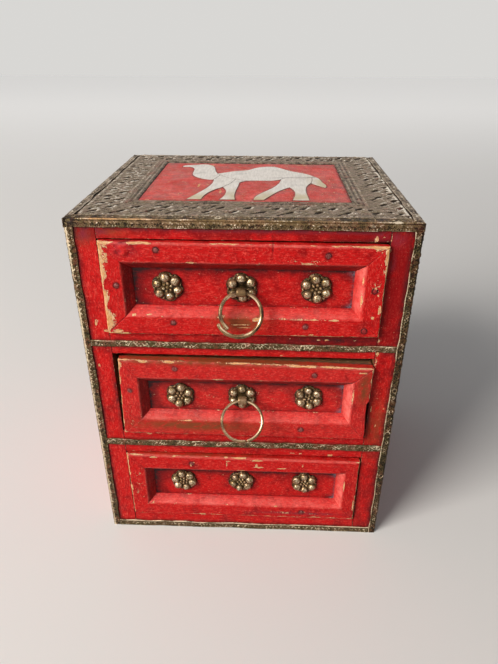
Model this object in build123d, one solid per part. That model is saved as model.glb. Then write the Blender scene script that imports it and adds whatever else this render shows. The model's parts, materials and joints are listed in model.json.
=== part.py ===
"""A small three-drawer jewellery chest: painted boards, folded brass edging, an inlaid bone camel.

Frame: millimetres, +X to the right, +Y to the back, +Z up. The origin is the centre of the underside.
The drawer fronts face -Y. Every shape is made where it sits in the closed chest.
"""
from build123d import *
import os
from math import cos, radians, sin

os.makedirs("parts", exist_ok=True)

# ---------------------------------------------------------------- driving dimensions, mm
WIDTH = 165.0                 # over the brass on the two sides
DEPTH = 146.0                 # over the brass on the front and back
HEIGHT = 200.0                # underside to the brass on the top
SHEET = 0.5                   # thickness of the brass sheet

SIDE_BOARD = 14.0             # thickness of the two side boards
BACK_BOARD = 8.0
OPENINGS = {                  # drawer opening: underside and top, above the underside of the chest
    "top": (140.5, 190.0),
    "middle": (76.2, 127.4),
    "bottom": (12.2, 61.0),
}

EDGE_LEG = 4.5                # each leg of the folded strips round the top
FOOT_LEG = 4.4                # height of the strips round the foot
CORNER_LEG = 4.3              # each leg of the folded strips on the upright corners
DIVIDER_STRIPS = {            # underside and top of the flat strips over the divider edges
    "upper": (131.9, 135.4),
    "lower": (66.4, 70.3),
}

PANEL_X = (-54.2, 53.6)       # the painted field in the middle of the top
PANEL_Y = (-42.5, 47.0)
RIDGE_RADIUS = 0.9            # two half-round ridges run round the inner edge of the border
RIDGE_RISE = 0.7
RIDGE_INSETS = (1.6, 4.0)     # of each ridge's middle, from the painted field

BONE = 1.4                    # thickness of the inlaid bone plates
BONE_PROUD = 0.2
BONE_JOINT = 0.3              # width of the joint lines between the plates

MOULDING_BEVEL = 4.4          # width of the sloping inner part of the drawer mouldings
MOULDING_DEPTH = 4.5          # thickness of the mouldings, in front of the drawer's front board
FRONT_BOARD = 8.0
DRAWER_WALL = 7.0
DRAWER_BACK = 6.0
DRAWER_BOTTOM = 4.0
DRAWER_LIFT = 0.3             # between the drawer's box and the board it slides on
DRAWER_HEADROOM = 4.0
DRAWER_END_GAP = 0.3          # between the closed drawer and the back panel

ROSETTE_BOSSES = 6
ROSETTE_BOSS_CIRCLE = 4.9     # radius of the circle that the bosses stand on
ROSETTE_BOSS = 2.25           # radius of each domed boss
ROSETTE_LOBE = 2.6            # radius of the plate round each boss
ROSETTE_PLATE = 0.8
ROSETTE_BOSS_LIFT = 0.8       # height of the boss's own centre
ROSETTE_BEAD_CIRCLE = 1.6
ROSETTE_BEAD = 0.75
ROSETTE_SHANK = 0.7

EYE_WIDTH = 3.2               # the band that the split pins are bent from
EYE_BAND = 0.9
EYE_BORE = 1.4                # inside radius of the loop that holds the ring
EYE_SPLAY = 6.0               # length of each leg folded over behind the front board
EYE_SLOT = 0.1                # clearance round the legs

NAIL_HEAD = 1.0
NAIL_RISE = 0.4
NAIL_SHANK = 0.5
NAIL_LENGTH = 7.0
BRAD_HEAD = 1.15
BRAD_RISE = 0.35
BRAD_SHANK = 0.6
BRAD_LENGTH = 9.0

# Each drawer front is hand cut and a little out of square. corners: lower left, lower right, upper
# right, upper left, as (x, z). flat: the inner edge of the mouldings' flat part, as x0, x1, z0, z1.
DRAWERS = {
    "top": dict(
        proud=2.5,
        corners=[(-67.7, 140.9), (67.7, 141.6), (67.7, 189.0), (-67.1, 189.6)],
        worn=[],
        flat=(-57.4, 57.9, 151.2, 179.6),
        rosettes=[(-36.4, 165.7), (-0.3, 165.7), (35.7, 166.0)],
        brads=[(-39.8, 185.9), (39.8, 184.2), (-34.1, 148.0), (31.3, 147.1), (-60.4, 167.6), (63.0, 166.9),
               (60.1, 145.2)],
        box_x=(-67.5, 67.5),
    ),
    "middle": dict(
        proud=3.3,
        corners=[(-66.3, 77.8), (67.4, 77.3), (67.6, 123.6), (-64.6, 126.1)],
        worn=[(66.6, 123.5), (45.0, 124.7), (5.0, 125.6)],
        flat=(-55.4, 58.2, 87.7, 114.8),
        rosettes=[(-34.0, 101.8), (-0.4, 101.8), (35.5, 102.0)],
        brads=[(-35.1, 121.2), (37.4, 119.1), (-60.2, 106.7), (31.9, 83.2)],
        box_x=(-66.0, 67.2),
    ),
    "bottom": dict(
        proud=1.5,
        corners=[(-67.4, 12.7), (67.5, 12.7), (67.3, 58.8), (-67.6, 60.3)],
        worn=[],
        flat=(-57.9, 59.4, 21.4, 49.9),
        rosettes=[(-35.8, 37.6), (-1.2, 38.0), (36.6, 38.0)],
        brads=[(-29.8, 54.6), (35.5, 17.4)],
        box_x=(-67.2, 67.2),
    ),
}

# Rings: the wire is bent in two half turns of slightly different radius, so that its ends lie side by
# side (top drawer) or nearly meet (middle drawer). lean: how far the ring hangs out from upright.
RINGS = {
    "top": dict(hinge=(-0.4, -74.8, 164.9), lean=28.0, wire=1.05, inner=9.9, outer=11.05, start=206.0,
                overlap=28.0),
    "middle": dict(hinge=(0.0, -75.4, 101.4), lean=38.5, wire=0.85, inner=10.75, outer=10.85, start=285.0,
                   overlap=-1.5),
}

# The camel faces left. Each run of the outline is a smooth curve through its points, or straight lines.
CAMEL_OUTLINE = [
    ("curve", [(-42.0, 34.6), (-42.6, 36.6), (-40.5, 38.8), (-36.0, 40.0), (-28.5, 42.0), (-25.3, 39.8),
               (-22.7, 34.5), (-21.4, 27.0), (-18.8, 17.0)]),
    ("curve", [(-18.8, 17.0), (-14.5, 20.0), (-8.0, 24.2), (-1.0, 27.2), (3.2, 33.0), (8.0, 36.2),
               (14.0, 37.0), (19.5, 32.0), (25.0, 25.3), (31.5, 20.2), (37.5, 12.0)]),
    ("curve", [(37.5, 12.0), (40.6, 6.0), (41.8, -2.0), (43.2, -8.0), (42.6, -13.6)]),
    ("curve", [(42.6, -13.6), (38.6, -8.8), (35.3, -3.8)]),
    ("curve", [(35.3, -3.8), (32.4, -12.0), (31.5, -24.0), (32.0, -35.0)]),
    ("line", [(32.0, -35.0), (32.3, -39.8), (24.0, -39.8)]),
    ("curve", [(24.0, -39.8), (25.3, -32.0), (25.5, -22.0), (23.0, -14.0)]),
    ("curve", [(23.0, -14.0), (18.0, -20.8), (13.0, -31.0), (9.3, -39.8)]),
    ("line", [(9.3, -39.8), (4.2, -39.8)]),
    ("curve", [(4.2, -39.8), (6.0, -31.0), (13.0, -17.5), (17.4, -5.0), (18.6, 4.2)]),
    ("curve", [(18.6, 4.2), (9.0, 0.9), (0.0, 0.2), (-5.0, -5.0)]),
    ("curve", [(-5.0, -5.0), (-5.6, -18.0), (-6.0, -33.0), (-5.2, -39.8)]),
    ("line", [(-5.2, -39.8), (-13.0, -39.8)]),
    ("curve", [(-13.0, -39.8), (-11.2, -32.0), (-11.3, -21.0), (-13.4, -14.6)]),
    ("curve", [(-13.4, -14.6), (-18.2, -22.0), (-22.4, -39.8)]),
    ("line", [(-22.4, -39.8), (-29.6, -39.8)]),
    ("curve", [(-29.6, -39.8), (-24.0, -24.0), (-20.3, -10.0), (-20.0, 1.8)]),
    ("curve", [(-20.0, 1.8), (-29.0, 6.0), (-33.2, 13.0), (-34.2, 27.0), (-36.4, 33.8), (-42.0, 34.6)]),
]
CAMEL_JOINTS = [
    [(-19.4, 18.0), (-17.0, 13.4), (-19.2, 5.0), (-20.8, 0.6)],      # neck and shoulder
    [(-17.0, 13.4), (-12.5, 7.0), (-5.0, 2.4), (0.8, -0.8)],         # shoulder and body
    [(-7.4, 3.8), (-9.6, -6.0), (-13.6, -15.4)],                     # near and far fore leg
    [(18.0, 3.2), (21.0, 7.8), (32.0, 6.6), (38.4, 10.4)],           # body and haunch
    [(36.7, 9.4), (36.4, 3.0), (35.3, -5.0)],                        # haunch and tail
]

# Nails in the brass: (x, z) on the front and back, (y, z) on the sides.
FOOT_NAIL_Z = 2.2
EDGE_NAIL_Z = 197.7
FRONT_NAILS = [(-61.8, EDGE_NAIL_Z), (58.9, EDGE_NAIL_Z), (-75.4, 133.6), (61.5, 133.6), (76.4, 133.6),
               (-75.6, 68.3), (75.6, 68.3), (80.4, 192.5), (-80.4, 186.0), (80.4, 104.0), (-80.4, 104.0),
               (80.4, 22.0), (-80.4, 22.0), (-50.0, FOOT_NAIL_Z), (48.0, FOOT_NAIL_Z)]
BACK_NAILS = [(-60.0, EDGE_NAIL_Z), (60.0, EDGE_NAIL_Z), (-80.4, 180.0), (80.4, 180.0), (-80.4, 100.0),
              (80.4, 100.0), (-80.4, 22.0), (80.4, 22.0), (-50.0, FOOT_NAIL_Z), (50.0, FOOT_NAIL_Z)]
SIDE_NAILS = [(-45.0, EDGE_NAIL_Z), (45.0, EDGE_NAIL_Z), (-70.9, 180.0), (70.9, 180.0), (-70.9, 100.0),
              (70.9, 100.0), (-70.9, 22.0), (70.9, 22.0), (-45.0, FOOT_NAIL_Z), (45.0, FOOT_NAIL_Z)]

# ---------------------------------------------------------------- worked out from them
X_OUT = WIDTH / 2
Y_OUT = DEPTH / 2
X_WOOD = X_OUT - SHEET
Y_WOOD = Y_OUT - SHEET
Z_WOOD = HEIGHT - SHEET
X_IN = X_WOOD - SIDE_BOARD
Y_BACK = Y_WOOD - BACK_BOARD
X_BORDER = X_OUT - EDGE_LEG
Y_BORDER = Y_OUT - EDGE_LEG
BEVEL_PER_DEPTH = MOULDING_BEVEL / MOULDING_DEPTH
OVERSHOOT = 1.0               # how far a cutting shape runs past the face it cuts


# ---------------------------------------------------------------- helpers
def block(x, y, z):
    """A box between pairs of coordinates."""
    size = [max(pair) - min(pair) for pair in (x, y, z)]
    middle = [sum(pair) / 2 for pair in (x, y, z)]
    return Pos(*middle) * Box(*size)


def slab_y(points, y0, y1):
    """A plate with an outline of (x, z) points, from y0 back to y1."""
    outline = Polyline([(x, y0, z) for x, z in points], close=True)
    return extrude(make_face(outline), amount=y1 - y0, dir=(0, 1, 0))


def slab_z(points, z0, z1):
    """A plate with an outline of (x, y) points, from z0 up to z1."""
    outline = Polyline([(x, y, z0) for x, y in points], close=True)
    return extrude(make_face(outline), amount=z1 - z0, dir=(0, 0, 1))


def rectangle(x0, x1, z0, z1):
    """Corners in the order lower left, lower right, upper right, upper left."""
    return [(x0, z0), (x1, z0), (x1, z1), (x0, z1)]


def grown(rect, by):
    """A rectangle x0, x1, z0, z1 pushed out on all four sides."""
    x0, x1, z0, z1 = rect
    return x0 - by, x1 + by, z0 - by, z1 + by


def headed_pin(head, rise, shank, length):
    """A nail on the local +Z side of the origin: a low dome for a head, and a round shank below it."""
    dome_radius = (head * head + rise * rise) / (2 * rise)
    dome = Pos(0, 0, rise - dome_radius) * Sphere(dome_radius)
    cap = dome & (Pos(0, 0, rise / 2) * Box(2 * head, 2 * head, rise))
    return cap + Pos(0, 0, -length / 2) * Cylinder(shank, length)


FACE_FRONT = Rot(90, 0, 0)    # turns local +Z to -Y, and local +Y to +Z
FACE_BACK = Rot(-90, 0, 0)
FACE_LEFT = Rot(0, -90, 0)
FACE_RIGHT = Rot(0, 90, 0)


def group(shapes):
    """Separate solids kept together in one node."""
    return Compound(children=[solid for shape in shapes for solid in shape.solids()])


def cut(shape, tools):
    """The shape with every tool taken out of it."""
    for tool in tools:
        shape = shape - tool
    return shape


# ---------------------------------------------------------------- nails in the brass
def strip_nails():
    nail = headed_pin(NAIL_HEAD, NAIL_RISE, NAIL_SHANK, NAIL_LENGTH)
    placed = [Pos(x, -Y_OUT, z) * FACE_FRONT * nail for x, z in FRONT_NAILS]
    placed += [Pos(x, Y_OUT, z) * FACE_BACK * nail for x, z in BACK_NAILS]
    placed += [Pos(-X_OUT, y, z) * FACE_LEFT * nail for y, z in SIDE_NAILS]
    placed += [Pos(X_OUT, y, z) * FACE_RIGHT * nail for y, z in SIDE_NAILS]
    return placed


# ---------------------------------------------------------------- the bone camel
def camel_face():
    """The whole outline of the camel at the height of the bottom of the bone."""
    z = Z_WOOD + SHEET + BONE_PROUD - BONE
    edges = []
    for kind, points in CAMEL_OUTLINE:
        points = [(x, y, z) for x, y in points]
        if kind == "curve":
            edges.append(Spline(*points))
        else:
            edges.extend(Line(a, b) for a, b in zip(points, points[1:]))
    return make_face(edges)


def camel_blank():
    return extrude(camel_face(), amount=BONE, dir=(0, 0, 1))


def camel_inlay():
    """The plates of bone: the whole figure, parted along fine joint lines."""
    z = HEIGHT + BONE_PROUD - BONE - OVERSHOOT
    parts = camel_blank()
    for joint in CAMEL_JOINTS:
        saw = Pos(0, 0, z) * trace(Polyline(joint), BONE_JOINT)
        parts = parts - extrude(saw, amount=BONE + 2 * OVERSHOOT, dir=(0, 0, 1))
    return parts


# ---------------------------------------------------------------- carcase boards
def carcase_boards():
    bottom_top = OPENINGS["bottom"][0]
    top_under = OPENINGS["top"][1]
    y_full = (-Y_WOOD, Y_WOOD)
    boards = {
        "left_side": block((-X_WOOD, -X_IN), y_full, (0, Z_WOOD)),
        "right_side": block((X_IN, X_WOOD), y_full, (0, Z_WOOD)),
        "bottom_board": block((-X_IN, X_IN), y_full, (0, bottom_top)),
        "top_board": block((-X_IN, X_IN), y_full, (top_under, Z_WOOD)),
        "back_panel": block((-X_IN, X_IN), (Y_BACK, Y_WOOD), (bottom_top, top_under)),
        "lower_divider": block((-X_IN, X_IN), (-Y_WOOD, Y_BACK), (OPENINGS["bottom"][1], OPENINGS["middle"][0])),
        "upper_divider": block((-X_IN, X_IN), (-Y_WOOD, Y_BACK), (OPENINGS["middle"][1], OPENINGS["top"][0])),
    }
    field = block(PANEL_X, PANEL_Y, (Z_WOOD - OVERSHOOT, HEIGHT))
    boards["top_board"] = boards["top_board"] + field - camel_blank()
    return boards


# ---------------------------------------------------------------- embossed brass
def mitre_wedges(outer, inner, z0, z1):
    """Four blocks that part a frame along its mitres. outer and inner: x0, x1, y0, y1."""
    a, b = rectangle(*outer), rectangle(*inner)
    names = ("front", "right", "back", "left")
    wedges = {}
    for i, name in enumerate(names):
        j = (i + 1) % 4
        wedges[name] = slab_z([a[i], a[j], b[j], b[i]], z0, z1)
    return wedges


def top_border():
    """Four mitred sheets, with two ridges round the inner edge."""
    outer = (-X_BORDER, X_BORDER, -Y_BORDER, Y_BORDER)
    inner = (*PANEL_X, *PANEL_Y)
    sheet = block(outer[:2], outer[2:], (Z_WOOD, HEIGHT)) - block(PANEL_X, PANEL_Y, (Z_WOOD, HEIGHT))
    wedges = mitre_wedges(outer, inner, Z_WOOD, HEIGHT + RIDGE_RISE)
    ridged = sheet
    for inset in RIDGE_INSETS:
        x0, x1, y0, y1 = grown(inner, inset)
        long_x, long_y = x1 - x0 + 2 * RIDGE_RADIUS, y1 - y0 + 2 * RIDGE_RADIUS
        for y in (y0, y1):
            ridged += Pos((x0 + x1) / 2, y, HEIGHT + RIDGE_RISE - RIDGE_RADIUS) * Rot(0, 90, 0) * Cylinder(
                RIDGE_RADIUS, long_x)
        for x in (x0, x1):
            ridged += Pos(x, (y0 + y1) / 2, HEIGHT + RIDGE_RISE - RIDGE_RADIUS) * Rot(90, 0, 0) * Cylinder(
                RIDGE_RADIUS, long_y)
    return {f"top_border_{name}": ridged & wedge for name, wedge in wedges.items()}


def shell(x, y, z):
    """The space between the wood and the outer face of the brass, within a box."""
    wood = block((-X_WOOD, X_WOOD), (-Y_WOOD, Y_WOOD), (-OVERSHOOT, Z_WOOD))
    return block(x, y, z) - wood


def top_edges():
    """Folded strips round the top, mitred where they meet."""
    full = shell((-X_OUT, X_OUT), (-Y_OUT, Y_OUT), (HEIGHT - EDGE_LEG, HEIGHT))
    full = full - block((-X_BORDER, X_BORDER), (-Y_BORDER, Y_BORDER), (Z_WOOD, HEIGHT))
    reach = EDGE_LEG
    outer = (-X_OUT, X_OUT, -Y_OUT, Y_OUT)
    inner = (-X_OUT + reach, X_OUT - reach, -Y_OUT + reach, Y_OUT - reach)
    return [full & wedge for wedge in mitre_wedges(outer, inner, 0, HEIGHT).values()]


def corner_strip(side_x, side_y):
    """A strip folded round one upright corner."""
    x = sorted((side_x * X_OUT, side_x * (X_OUT - CORNER_LEG)))
    y = sorted((side_y * Y_OUT, side_y * (Y_OUT - CORNER_LEG)))
    return shell(x, y, (0, HEIGHT - EDGE_LEG))


def foot_strips():
    """Flat strips round the foot, between the corner strips."""
    ring = shell((-X_OUT, X_OUT), (-Y_OUT, Y_OUT), (0, FOOT_LEG))
    x, y = X_OUT - CORNER_LEG, Y_OUT - CORNER_LEG
    along_x = ring & block((-x, x), (-Y_OUT, Y_OUT), (0, FOOT_LEG))
    along_y = ring & block((-X_OUT, X_OUT), (-y, y), (0, FOOT_LEG))
    return [along_x, along_y]


def divider_strip(z0, z1):
    reach = X_OUT - CORNER_LEG
    return block((-reach, reach), (-Y_OUT, -Y_WOOD), (z0, z1))


def brass_edging():
    pieces = top_border()
    pieces["top_edge_strips"] = group(top_edges())
    for name_y, side_y in (("front", -1), ("back", 1)):
        for name_x, side_x in (("left", -1), ("right", 1)):
            pieces[f"corner_strip_{name_y}_{name_x}"] = corner_strip(side_x, side_y)
    pieces["foot_strips"] = group(foot_strips())
    for name, (z0, z1) in DIVIDER_STRIPS.items():
        pieces[f"{name}_divider_strip"] = divider_strip(z0, z1)
    return pieces


# ---------------------------------------------------------------- drawer fittings
def rosette(holds_eye):
    """A stamped flower of domed bosses, lying on the local XY plane.

    A split pin goes through the middle of some; the others have a beaded centre and a shank.
    """
    def on_circle(radius, count):
        step = 360 / count
        return [(radius * cos(radians(90 + i * step)), radius * sin(radians(90 + i * step)))
                for i in range(count)]

    flower = Pos(0, 0, ROSETTE_PLATE / 2) * Cylinder(ROSETTE_BOSS_CIRCLE, ROSETTE_PLATE)
    keep = Pos(0, 0, HEIGHT / 2) * Box(HEIGHT, HEIGHT, HEIGHT)
    for x, y in on_circle(ROSETTE_BOSS_CIRCLE, ROSETTE_BOSSES):
        flower += Pos(x, y, ROSETTE_PLATE / 2) * Cylinder(ROSETTE_LOBE, ROSETTE_PLATE)
        flower += Pos(x, y, ROSETTE_BOSS_LIFT) * Sphere(ROSETTE_BOSS) & keep
    if holds_eye:
        return flower
    for x, y in [(0, 0)] + on_circle(ROSETTE_BEAD_CIRCLE, ROSETTE_BOSSES):
        flower += Pos(x, y, ROSETTE_PLATE + ROSETTE_BEAD / 2) * Sphere(ROSETTE_BEAD)
    return flower + Pos(0, 0, -FRONT_BOARD / 4) * Cylinder(ROSETTE_SHANK, FRONT_BOARD / 2)


def ring_eye(ring, y_board_back, clearance=0.0):
    """The split pin: a loop round the ring's wire, and two legs through the board, folded over."""
    x, y, z = ring["hinge"]
    half = EYE_WIDTH / 2 + clearance
    outside = EYE_BORE + EYE_BAND
    loop = Pos(x, y, z) * Rot(0, 90, 0) * Cylinder(outside, 2 * half)
    legs = block((x - half, x + half), (y, y_board_back + EYE_BAND),
                 (z - EYE_BAND - clearance, z + EYE_BAND + clearance))
    if clearance:
        return legs
    splay = block((x - half, x + half), (y_board_back, y_board_back + EYE_BAND), (z - EYE_SPLAY, z + EYE_SPLAY))
    bore = Pos(x, y, z) * Rot(0, 90, 0) * Cylinder(EYE_BORE, 4 * half)
    return loop + legs + splay - bore


def ring_wire(ring):
    """The ring, bent in two half turns, in a plane that leans out from its hinge."""
    inner, outer, start = ring["inner"], ring["outer"], ring["start"]
    shift = outer - inner
    far_end = radians(start + 180)
    centre = (0, -inner)
    centre_outer = (centre[0] - shift * cos(far_end), centre[1] - shift * sin(far_end))
    first = CenterArc(centre_outer, outer, start, 180)
    second = CenterArc(centre, inner, start + 180, 180 + ring["overlap"])
    path = Wire([first, second])
    section = Plane(origin=path @ 0, z_dir=path % 0) * Circle(ring["wire"])
    return Pos(*ring["hinge"]) * Rot(90 - ring["lean"], 0, 0) * sweep(section, path=path)


# ---------------------------------------------------------------- drawers
def moulding_wedges(drawer, y0, y1):
    """Four blocks that part the moulding frame along its mitres."""
    corners = drawer["corners"]
    flat = rectangle(*drawer["flat"])
    panel = rectangle(*grown(drawer["flat"], -MOULDING_BEVEL))
    pushes = {"bottom": (0, -1), "right": (1, 0), "top": (0, 1), "left": (-1, 0)}
    wedges = {}
    for i, (name, (px, pz)) in enumerate(pushes.items()):
        j = (i + 1) % 4
        out = [(x + OVERSHOOT * px * 3, z + OVERSHOOT * pz * 3) for x, z in (corners[i], corners[j])]
        outline = [corners[i], *out, corners[j], flat[j], panel[j], panel[i], flat[i]]
        wedges[name] = slab_y(outline, y0, y1)
    return wedges


def mouldings(drawer, outline, y_face, y_panel):
    """The bevelled frame round the front board, as four mitred pieces."""
    near = grown(drawer["flat"], OVERSHOOT * BEVEL_PER_DEPTH)
    far = grown(drawer["flat"], -MOULDING_BEVEL - OVERSHOOT * BEVEL_PER_DEPTH)
    near_face = make_face(Polyline([(x, y_face - OVERSHOOT, z) for x, z in rectangle(*near)], close=True))
    far_face = make_face(Polyline([(x, y_panel + OVERSHOOT, z) for x, z in rectangle(*far)], close=True))
    frame = slab_y(outline, y_face, y_panel) - loft([near_face, far_face], ruled=True)
    return {name: frame & wedge for name, wedge in moulding_wedges(drawer, y_face, y_panel).items()}


def drawer(name, drawer):
    """Every piece of one drawer, by node name."""
    y_face = -Y_OUT - drawer["proud"]
    y_panel = y_face + MOULDING_DEPTH
    y_behind = y_panel + FRONT_BOARD
    y_end = Y_BACK - DRAWER_END_GAP
    z_low = OPENINGS[name][0] + DRAWER_LIFT
    z_high = OPENINGS[name][1] - DRAWER_HEADROOM
    x0, x1 = drawer["box_x"]

    corners = drawer["corners"]
    outline = corners[:3] + drawer["worn"] + corners[3:]
    if drawer["worn"]:
        outline.remove(corners[2])
        outline.insert(2, (corners[2][0], corners[2][1] - 1.6))
    frame = mouldings(drawer, outline, y_face, y_panel)
    board = slab_y(outline, y_panel, y_behind)

    ring = RINGS.get(name)
    flowers = []
    for place, (x, z) in enumerate(drawer["rosettes"]):
        holds_eye = ring is not None and place == 1
        flowers.append(Pos(x, y_panel, z) * FACE_FRONT * rosette(holds_eye))
    brad = headed_pin(BRAD_HEAD, BRAD_RISE, BRAD_SHANK, BRAD_LENGTH)
    brads = [Pos(x, y_face, z) * FACE_FRONT * brad for x, z in drawer["brads"]]

    if ring is not None:
        slot = ring_eye(ring, y_behind, clearance=EYE_SLOT)
        board = board - slot
        flowers[1] = flowers[1] - slot
    board = cut(board, brads + flowers)
    frame = {side: cut(piece, brads) for side, piece in frame.items()}

    prefix = f"drawer_{name}"
    nodes = {f"{prefix}_front": board}
    for side, piece in frame.items():
        nodes[f"{prefix}_moulding_{side}"] = piece
    nodes[f"{prefix}_left_wall"] = block((x0, x0 + DRAWER_WALL), (y_behind, y_end), (z_low, z_high))
    nodes[f"{prefix}_right_wall"] = block((x1 - DRAWER_WALL, x1), (y_behind, y_end), (z_low, z_high))
    inner = (x0 + DRAWER_WALL, x1 - DRAWER_WALL)
    nodes[f"{prefix}_back"] = block(inner, (y_end - DRAWER_BACK, y_end), (z_low, z_high))
    nodes[f"{prefix}_floor"] = block(inner, (y_behind, y_end - DRAWER_BACK), (z_low, z_low + DRAWER_BOTTOM))
    nodes[f"{prefix}_rosettes"] = group(flowers)
    nodes[f"{prefix}_brads"] = group(brads)
    if ring is not None:
        nodes[f"ring_eye_{name}"] = ring_eye(ring, y_behind)
        nodes[f"ring_{name}"] = ring_wire(ring)
    return nodes


# ---------------------------------------------------------------- the whole chest
def chest():
    nails = strip_nails()
    nodes = {name: cut(board, nails) for name, board in carcase_boards().items()}
    nodes.update((name, cut(piece, nails)) for name, piece in brass_edging().items())
    nodes["strip_nails"] = group(nails)
    nodes["camel_inlay"] = group([camel_inlay()])
    for name, sizes in DRAWERS.items():
        nodes.update(drawer(name, sizes))
    return nodes


if __name__ == "__main__":
    for node, shape in chest().items():
        export_step(shape, f"parts/{node}.step")
        print(f"{node:32s} {len(shape.solids()):3d} solids {shape.volume:12.1f} mm3")
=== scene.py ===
"""A small painted jewellery chest, dressed in Blender: worn red paint, embossed brass, a bone camel.

Every shape is worked out in millimetres with numpy and put into its mesh in metres.
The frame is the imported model: +X to the right, +Y to the back, +Z up, and the drawers face -Y.
"""
# %% [markdown]
# # The chest and its frame
# The chest is a small hand-made cabinet: boards, three drawers, folded brass strips nailed over the
# joints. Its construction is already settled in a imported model, so the lesson starts by loading that
# model as a frame. Every new surface is laid on the frame, and then rides with the body it belongs to.

# %% Load the frame
import bpy
import json
import numpy as np
from mathutils import Matrix, Vector

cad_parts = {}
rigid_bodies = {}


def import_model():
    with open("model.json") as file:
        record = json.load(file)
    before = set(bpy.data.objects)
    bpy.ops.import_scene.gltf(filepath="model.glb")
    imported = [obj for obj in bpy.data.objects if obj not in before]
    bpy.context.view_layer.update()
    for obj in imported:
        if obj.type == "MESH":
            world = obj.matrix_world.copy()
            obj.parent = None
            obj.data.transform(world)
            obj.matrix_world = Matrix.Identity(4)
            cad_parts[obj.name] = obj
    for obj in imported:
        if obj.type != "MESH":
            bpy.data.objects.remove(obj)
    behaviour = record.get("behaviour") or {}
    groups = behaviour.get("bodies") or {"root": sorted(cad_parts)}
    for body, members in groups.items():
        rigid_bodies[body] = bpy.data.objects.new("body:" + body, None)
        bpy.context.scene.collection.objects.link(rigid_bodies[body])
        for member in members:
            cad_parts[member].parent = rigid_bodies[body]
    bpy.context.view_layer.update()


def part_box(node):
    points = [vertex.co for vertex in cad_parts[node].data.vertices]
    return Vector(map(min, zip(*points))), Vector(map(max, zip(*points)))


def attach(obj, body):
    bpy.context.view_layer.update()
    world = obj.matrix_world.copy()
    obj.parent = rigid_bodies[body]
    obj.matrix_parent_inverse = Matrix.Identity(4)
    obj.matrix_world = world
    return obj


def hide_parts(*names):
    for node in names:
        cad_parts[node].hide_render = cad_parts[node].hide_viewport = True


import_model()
MM = 0.001

# %% [markdown]
# # The camera
# The chest is looked down on from close by, about a hand's breadth above its top. A camera turns by its
# matrix: its columns are the directions to its right, up, and backwards. They are worked out from three
# angles, which keeps the numbers few and readable.

# %% Camera
EYE = (12.03, -308.05, 273.34)        # mm
TURN, TILT, ROLL = -0.03713, 0.50843, 0.002578        # radians: to the right, down, about the line of sight
FOCAL = 29.026                        # mm, on a film 36 mm high


def camera_axes(turn, tilt, roll):
    """The right, up and back directions of a camera that looks along +Y before it is turned."""
    ahead = np.array([np.sin(turn) * np.cos(tilt), np.cos(turn) * np.cos(tilt), -np.sin(tilt)])
    right = np.array([np.cos(turn), -np.sin(turn), 0.0])
    up = np.cross(right, ahead)
    return np.cos(roll) * right + np.sin(roll) * up, np.cos(roll) * up - np.sin(roll) * right, -ahead


lens = bpy.data.cameras.new("camera")
lens.lens = FOCAL
lens.sensor_width = 36.0
lens.clip_start, lens.clip_end = 0.01, 50.0
camera = bpy.data.objects.new("camera", lens)
bpy.context.scene.collection.objects.link(camera)
axes = np.stack(camera_axes(TURN, TILT, ROLL), 1)
camera.matrix_world = Matrix.Translation(Vector(EYE) * MM) @ Matrix(axes.tolist()).to_4x4()
bpy.context.scene.camera = camera
bpy.context.scene.view_settings.view_transform = "Standard"
print("camera at", [round(c, 3) for c in camera.location])

# %% [markdown]
# # Finishes are graphs of nodes
# A finish is a small graph: textures feed colour mixes, and the mixes feed one shader. Writing every
# node out takes five lines, so a few helpers come first. Colours are written the way a paint chart
# gives them, 0 to 255, and are turned into the linear values that light is worked out in.

# %% Helpers for node graphs
def colour(red, green, blue):
    """A paint-chart colour as linear light: the inverse of the display's curve."""
    part = np.array([red, green, blue]) / 255
    linear = np.where(part <= 0.04045, part / 12.92, ((part + 0.055) / 1.055) ** 2.4)
    return (*(float(c) for c in linear), 1.0)


def add(tree, kind, inputs=None, **settings):
    """One node. Of the inputs, a socket is linked and anything else is set as the value."""
    node = tree.nodes.new(kind)
    for name, value in settings.items():
        setattr(node, name, value)
    for name, value in (inputs or {}).items():
        if isinstance(value, bpy.types.NodeSocket):
            tree.links.new(value, node.inputs[name])
        else:
            node.inputs[name].default_value = value
    return node


def calc(tree, operation, *values):
    """Arithmetic on numbers or sockets."""
    return add(tree, "ShaderNodeMath", dict(enumerate(values)), operation=operation).outputs[0]


def times(tree, first, second):
    """One number or socket times another. It weakens an amount, or keeps it to the places of the other."""
    return calc(tree, "MULTIPLY", first, second)


def mix(tree, amount, first, second):
    """The first colour where the amount is 0, the second where it is 1."""
    return add(tree, "ShaderNodeMix", {0: amount, 6: first, 7: second}, data_type="RGBA").outputs[2]


def rise(tree, value, low, high):
    """0 below low and 1 above high, with a smooth step between them."""
    return add(tree, "ShaderNodeMapRange", {"Value": value, "From Min": low, "From Max": high},
               interpolation_type="SMOOTHSTEP").outputs[0]


def cloud(tree, size, detail=3.0, stretch=(1, 1, 1), shift=0.0, roughness=0.55):
    """Noise in the piece's own space, its blobs about `size` mm across and drawn out by stretch."""
    place = add(tree, "ShaderNodeTexCoord").outputs["Object"]
    scale = [1 / (MM * size * s) for s in stretch]
    where = add(tree, "ShaderNodeMapping", {"Vector": place, "Location": (shift,) * 3, "Scale": scale})
    return add(tree, "ShaderNodeTexNoise", {"Vector": where.outputs[0], "Scale": 1.0, "Detail": detail,
                                            "Roughness": roughness}).outputs[0]


def place_on(tree):
    """Where a point is on its own piece, in metres, as three sockets X, Y and Z."""
    place = add(tree, "ShaderNodeTexCoord").outputs["Object"]
    return add(tree, "ShaderNodeSeparateXYZ", {0: place}).outputs


def value_of(tree, name):
    """A number that the mesh carries at each of its points."""
    return add(tree, "ShaderNodeAttribute", attribute_name=name).outputs["Fac"]


def finish_of(name):
    """A new material with its shader. Returns the material, its tree and the shader."""
    material = bpy.data.materials.new(name)
    material.use_nodes = True
    tree = material.node_tree
    return material, tree, tree.nodes["Principled BSDF"]


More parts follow.
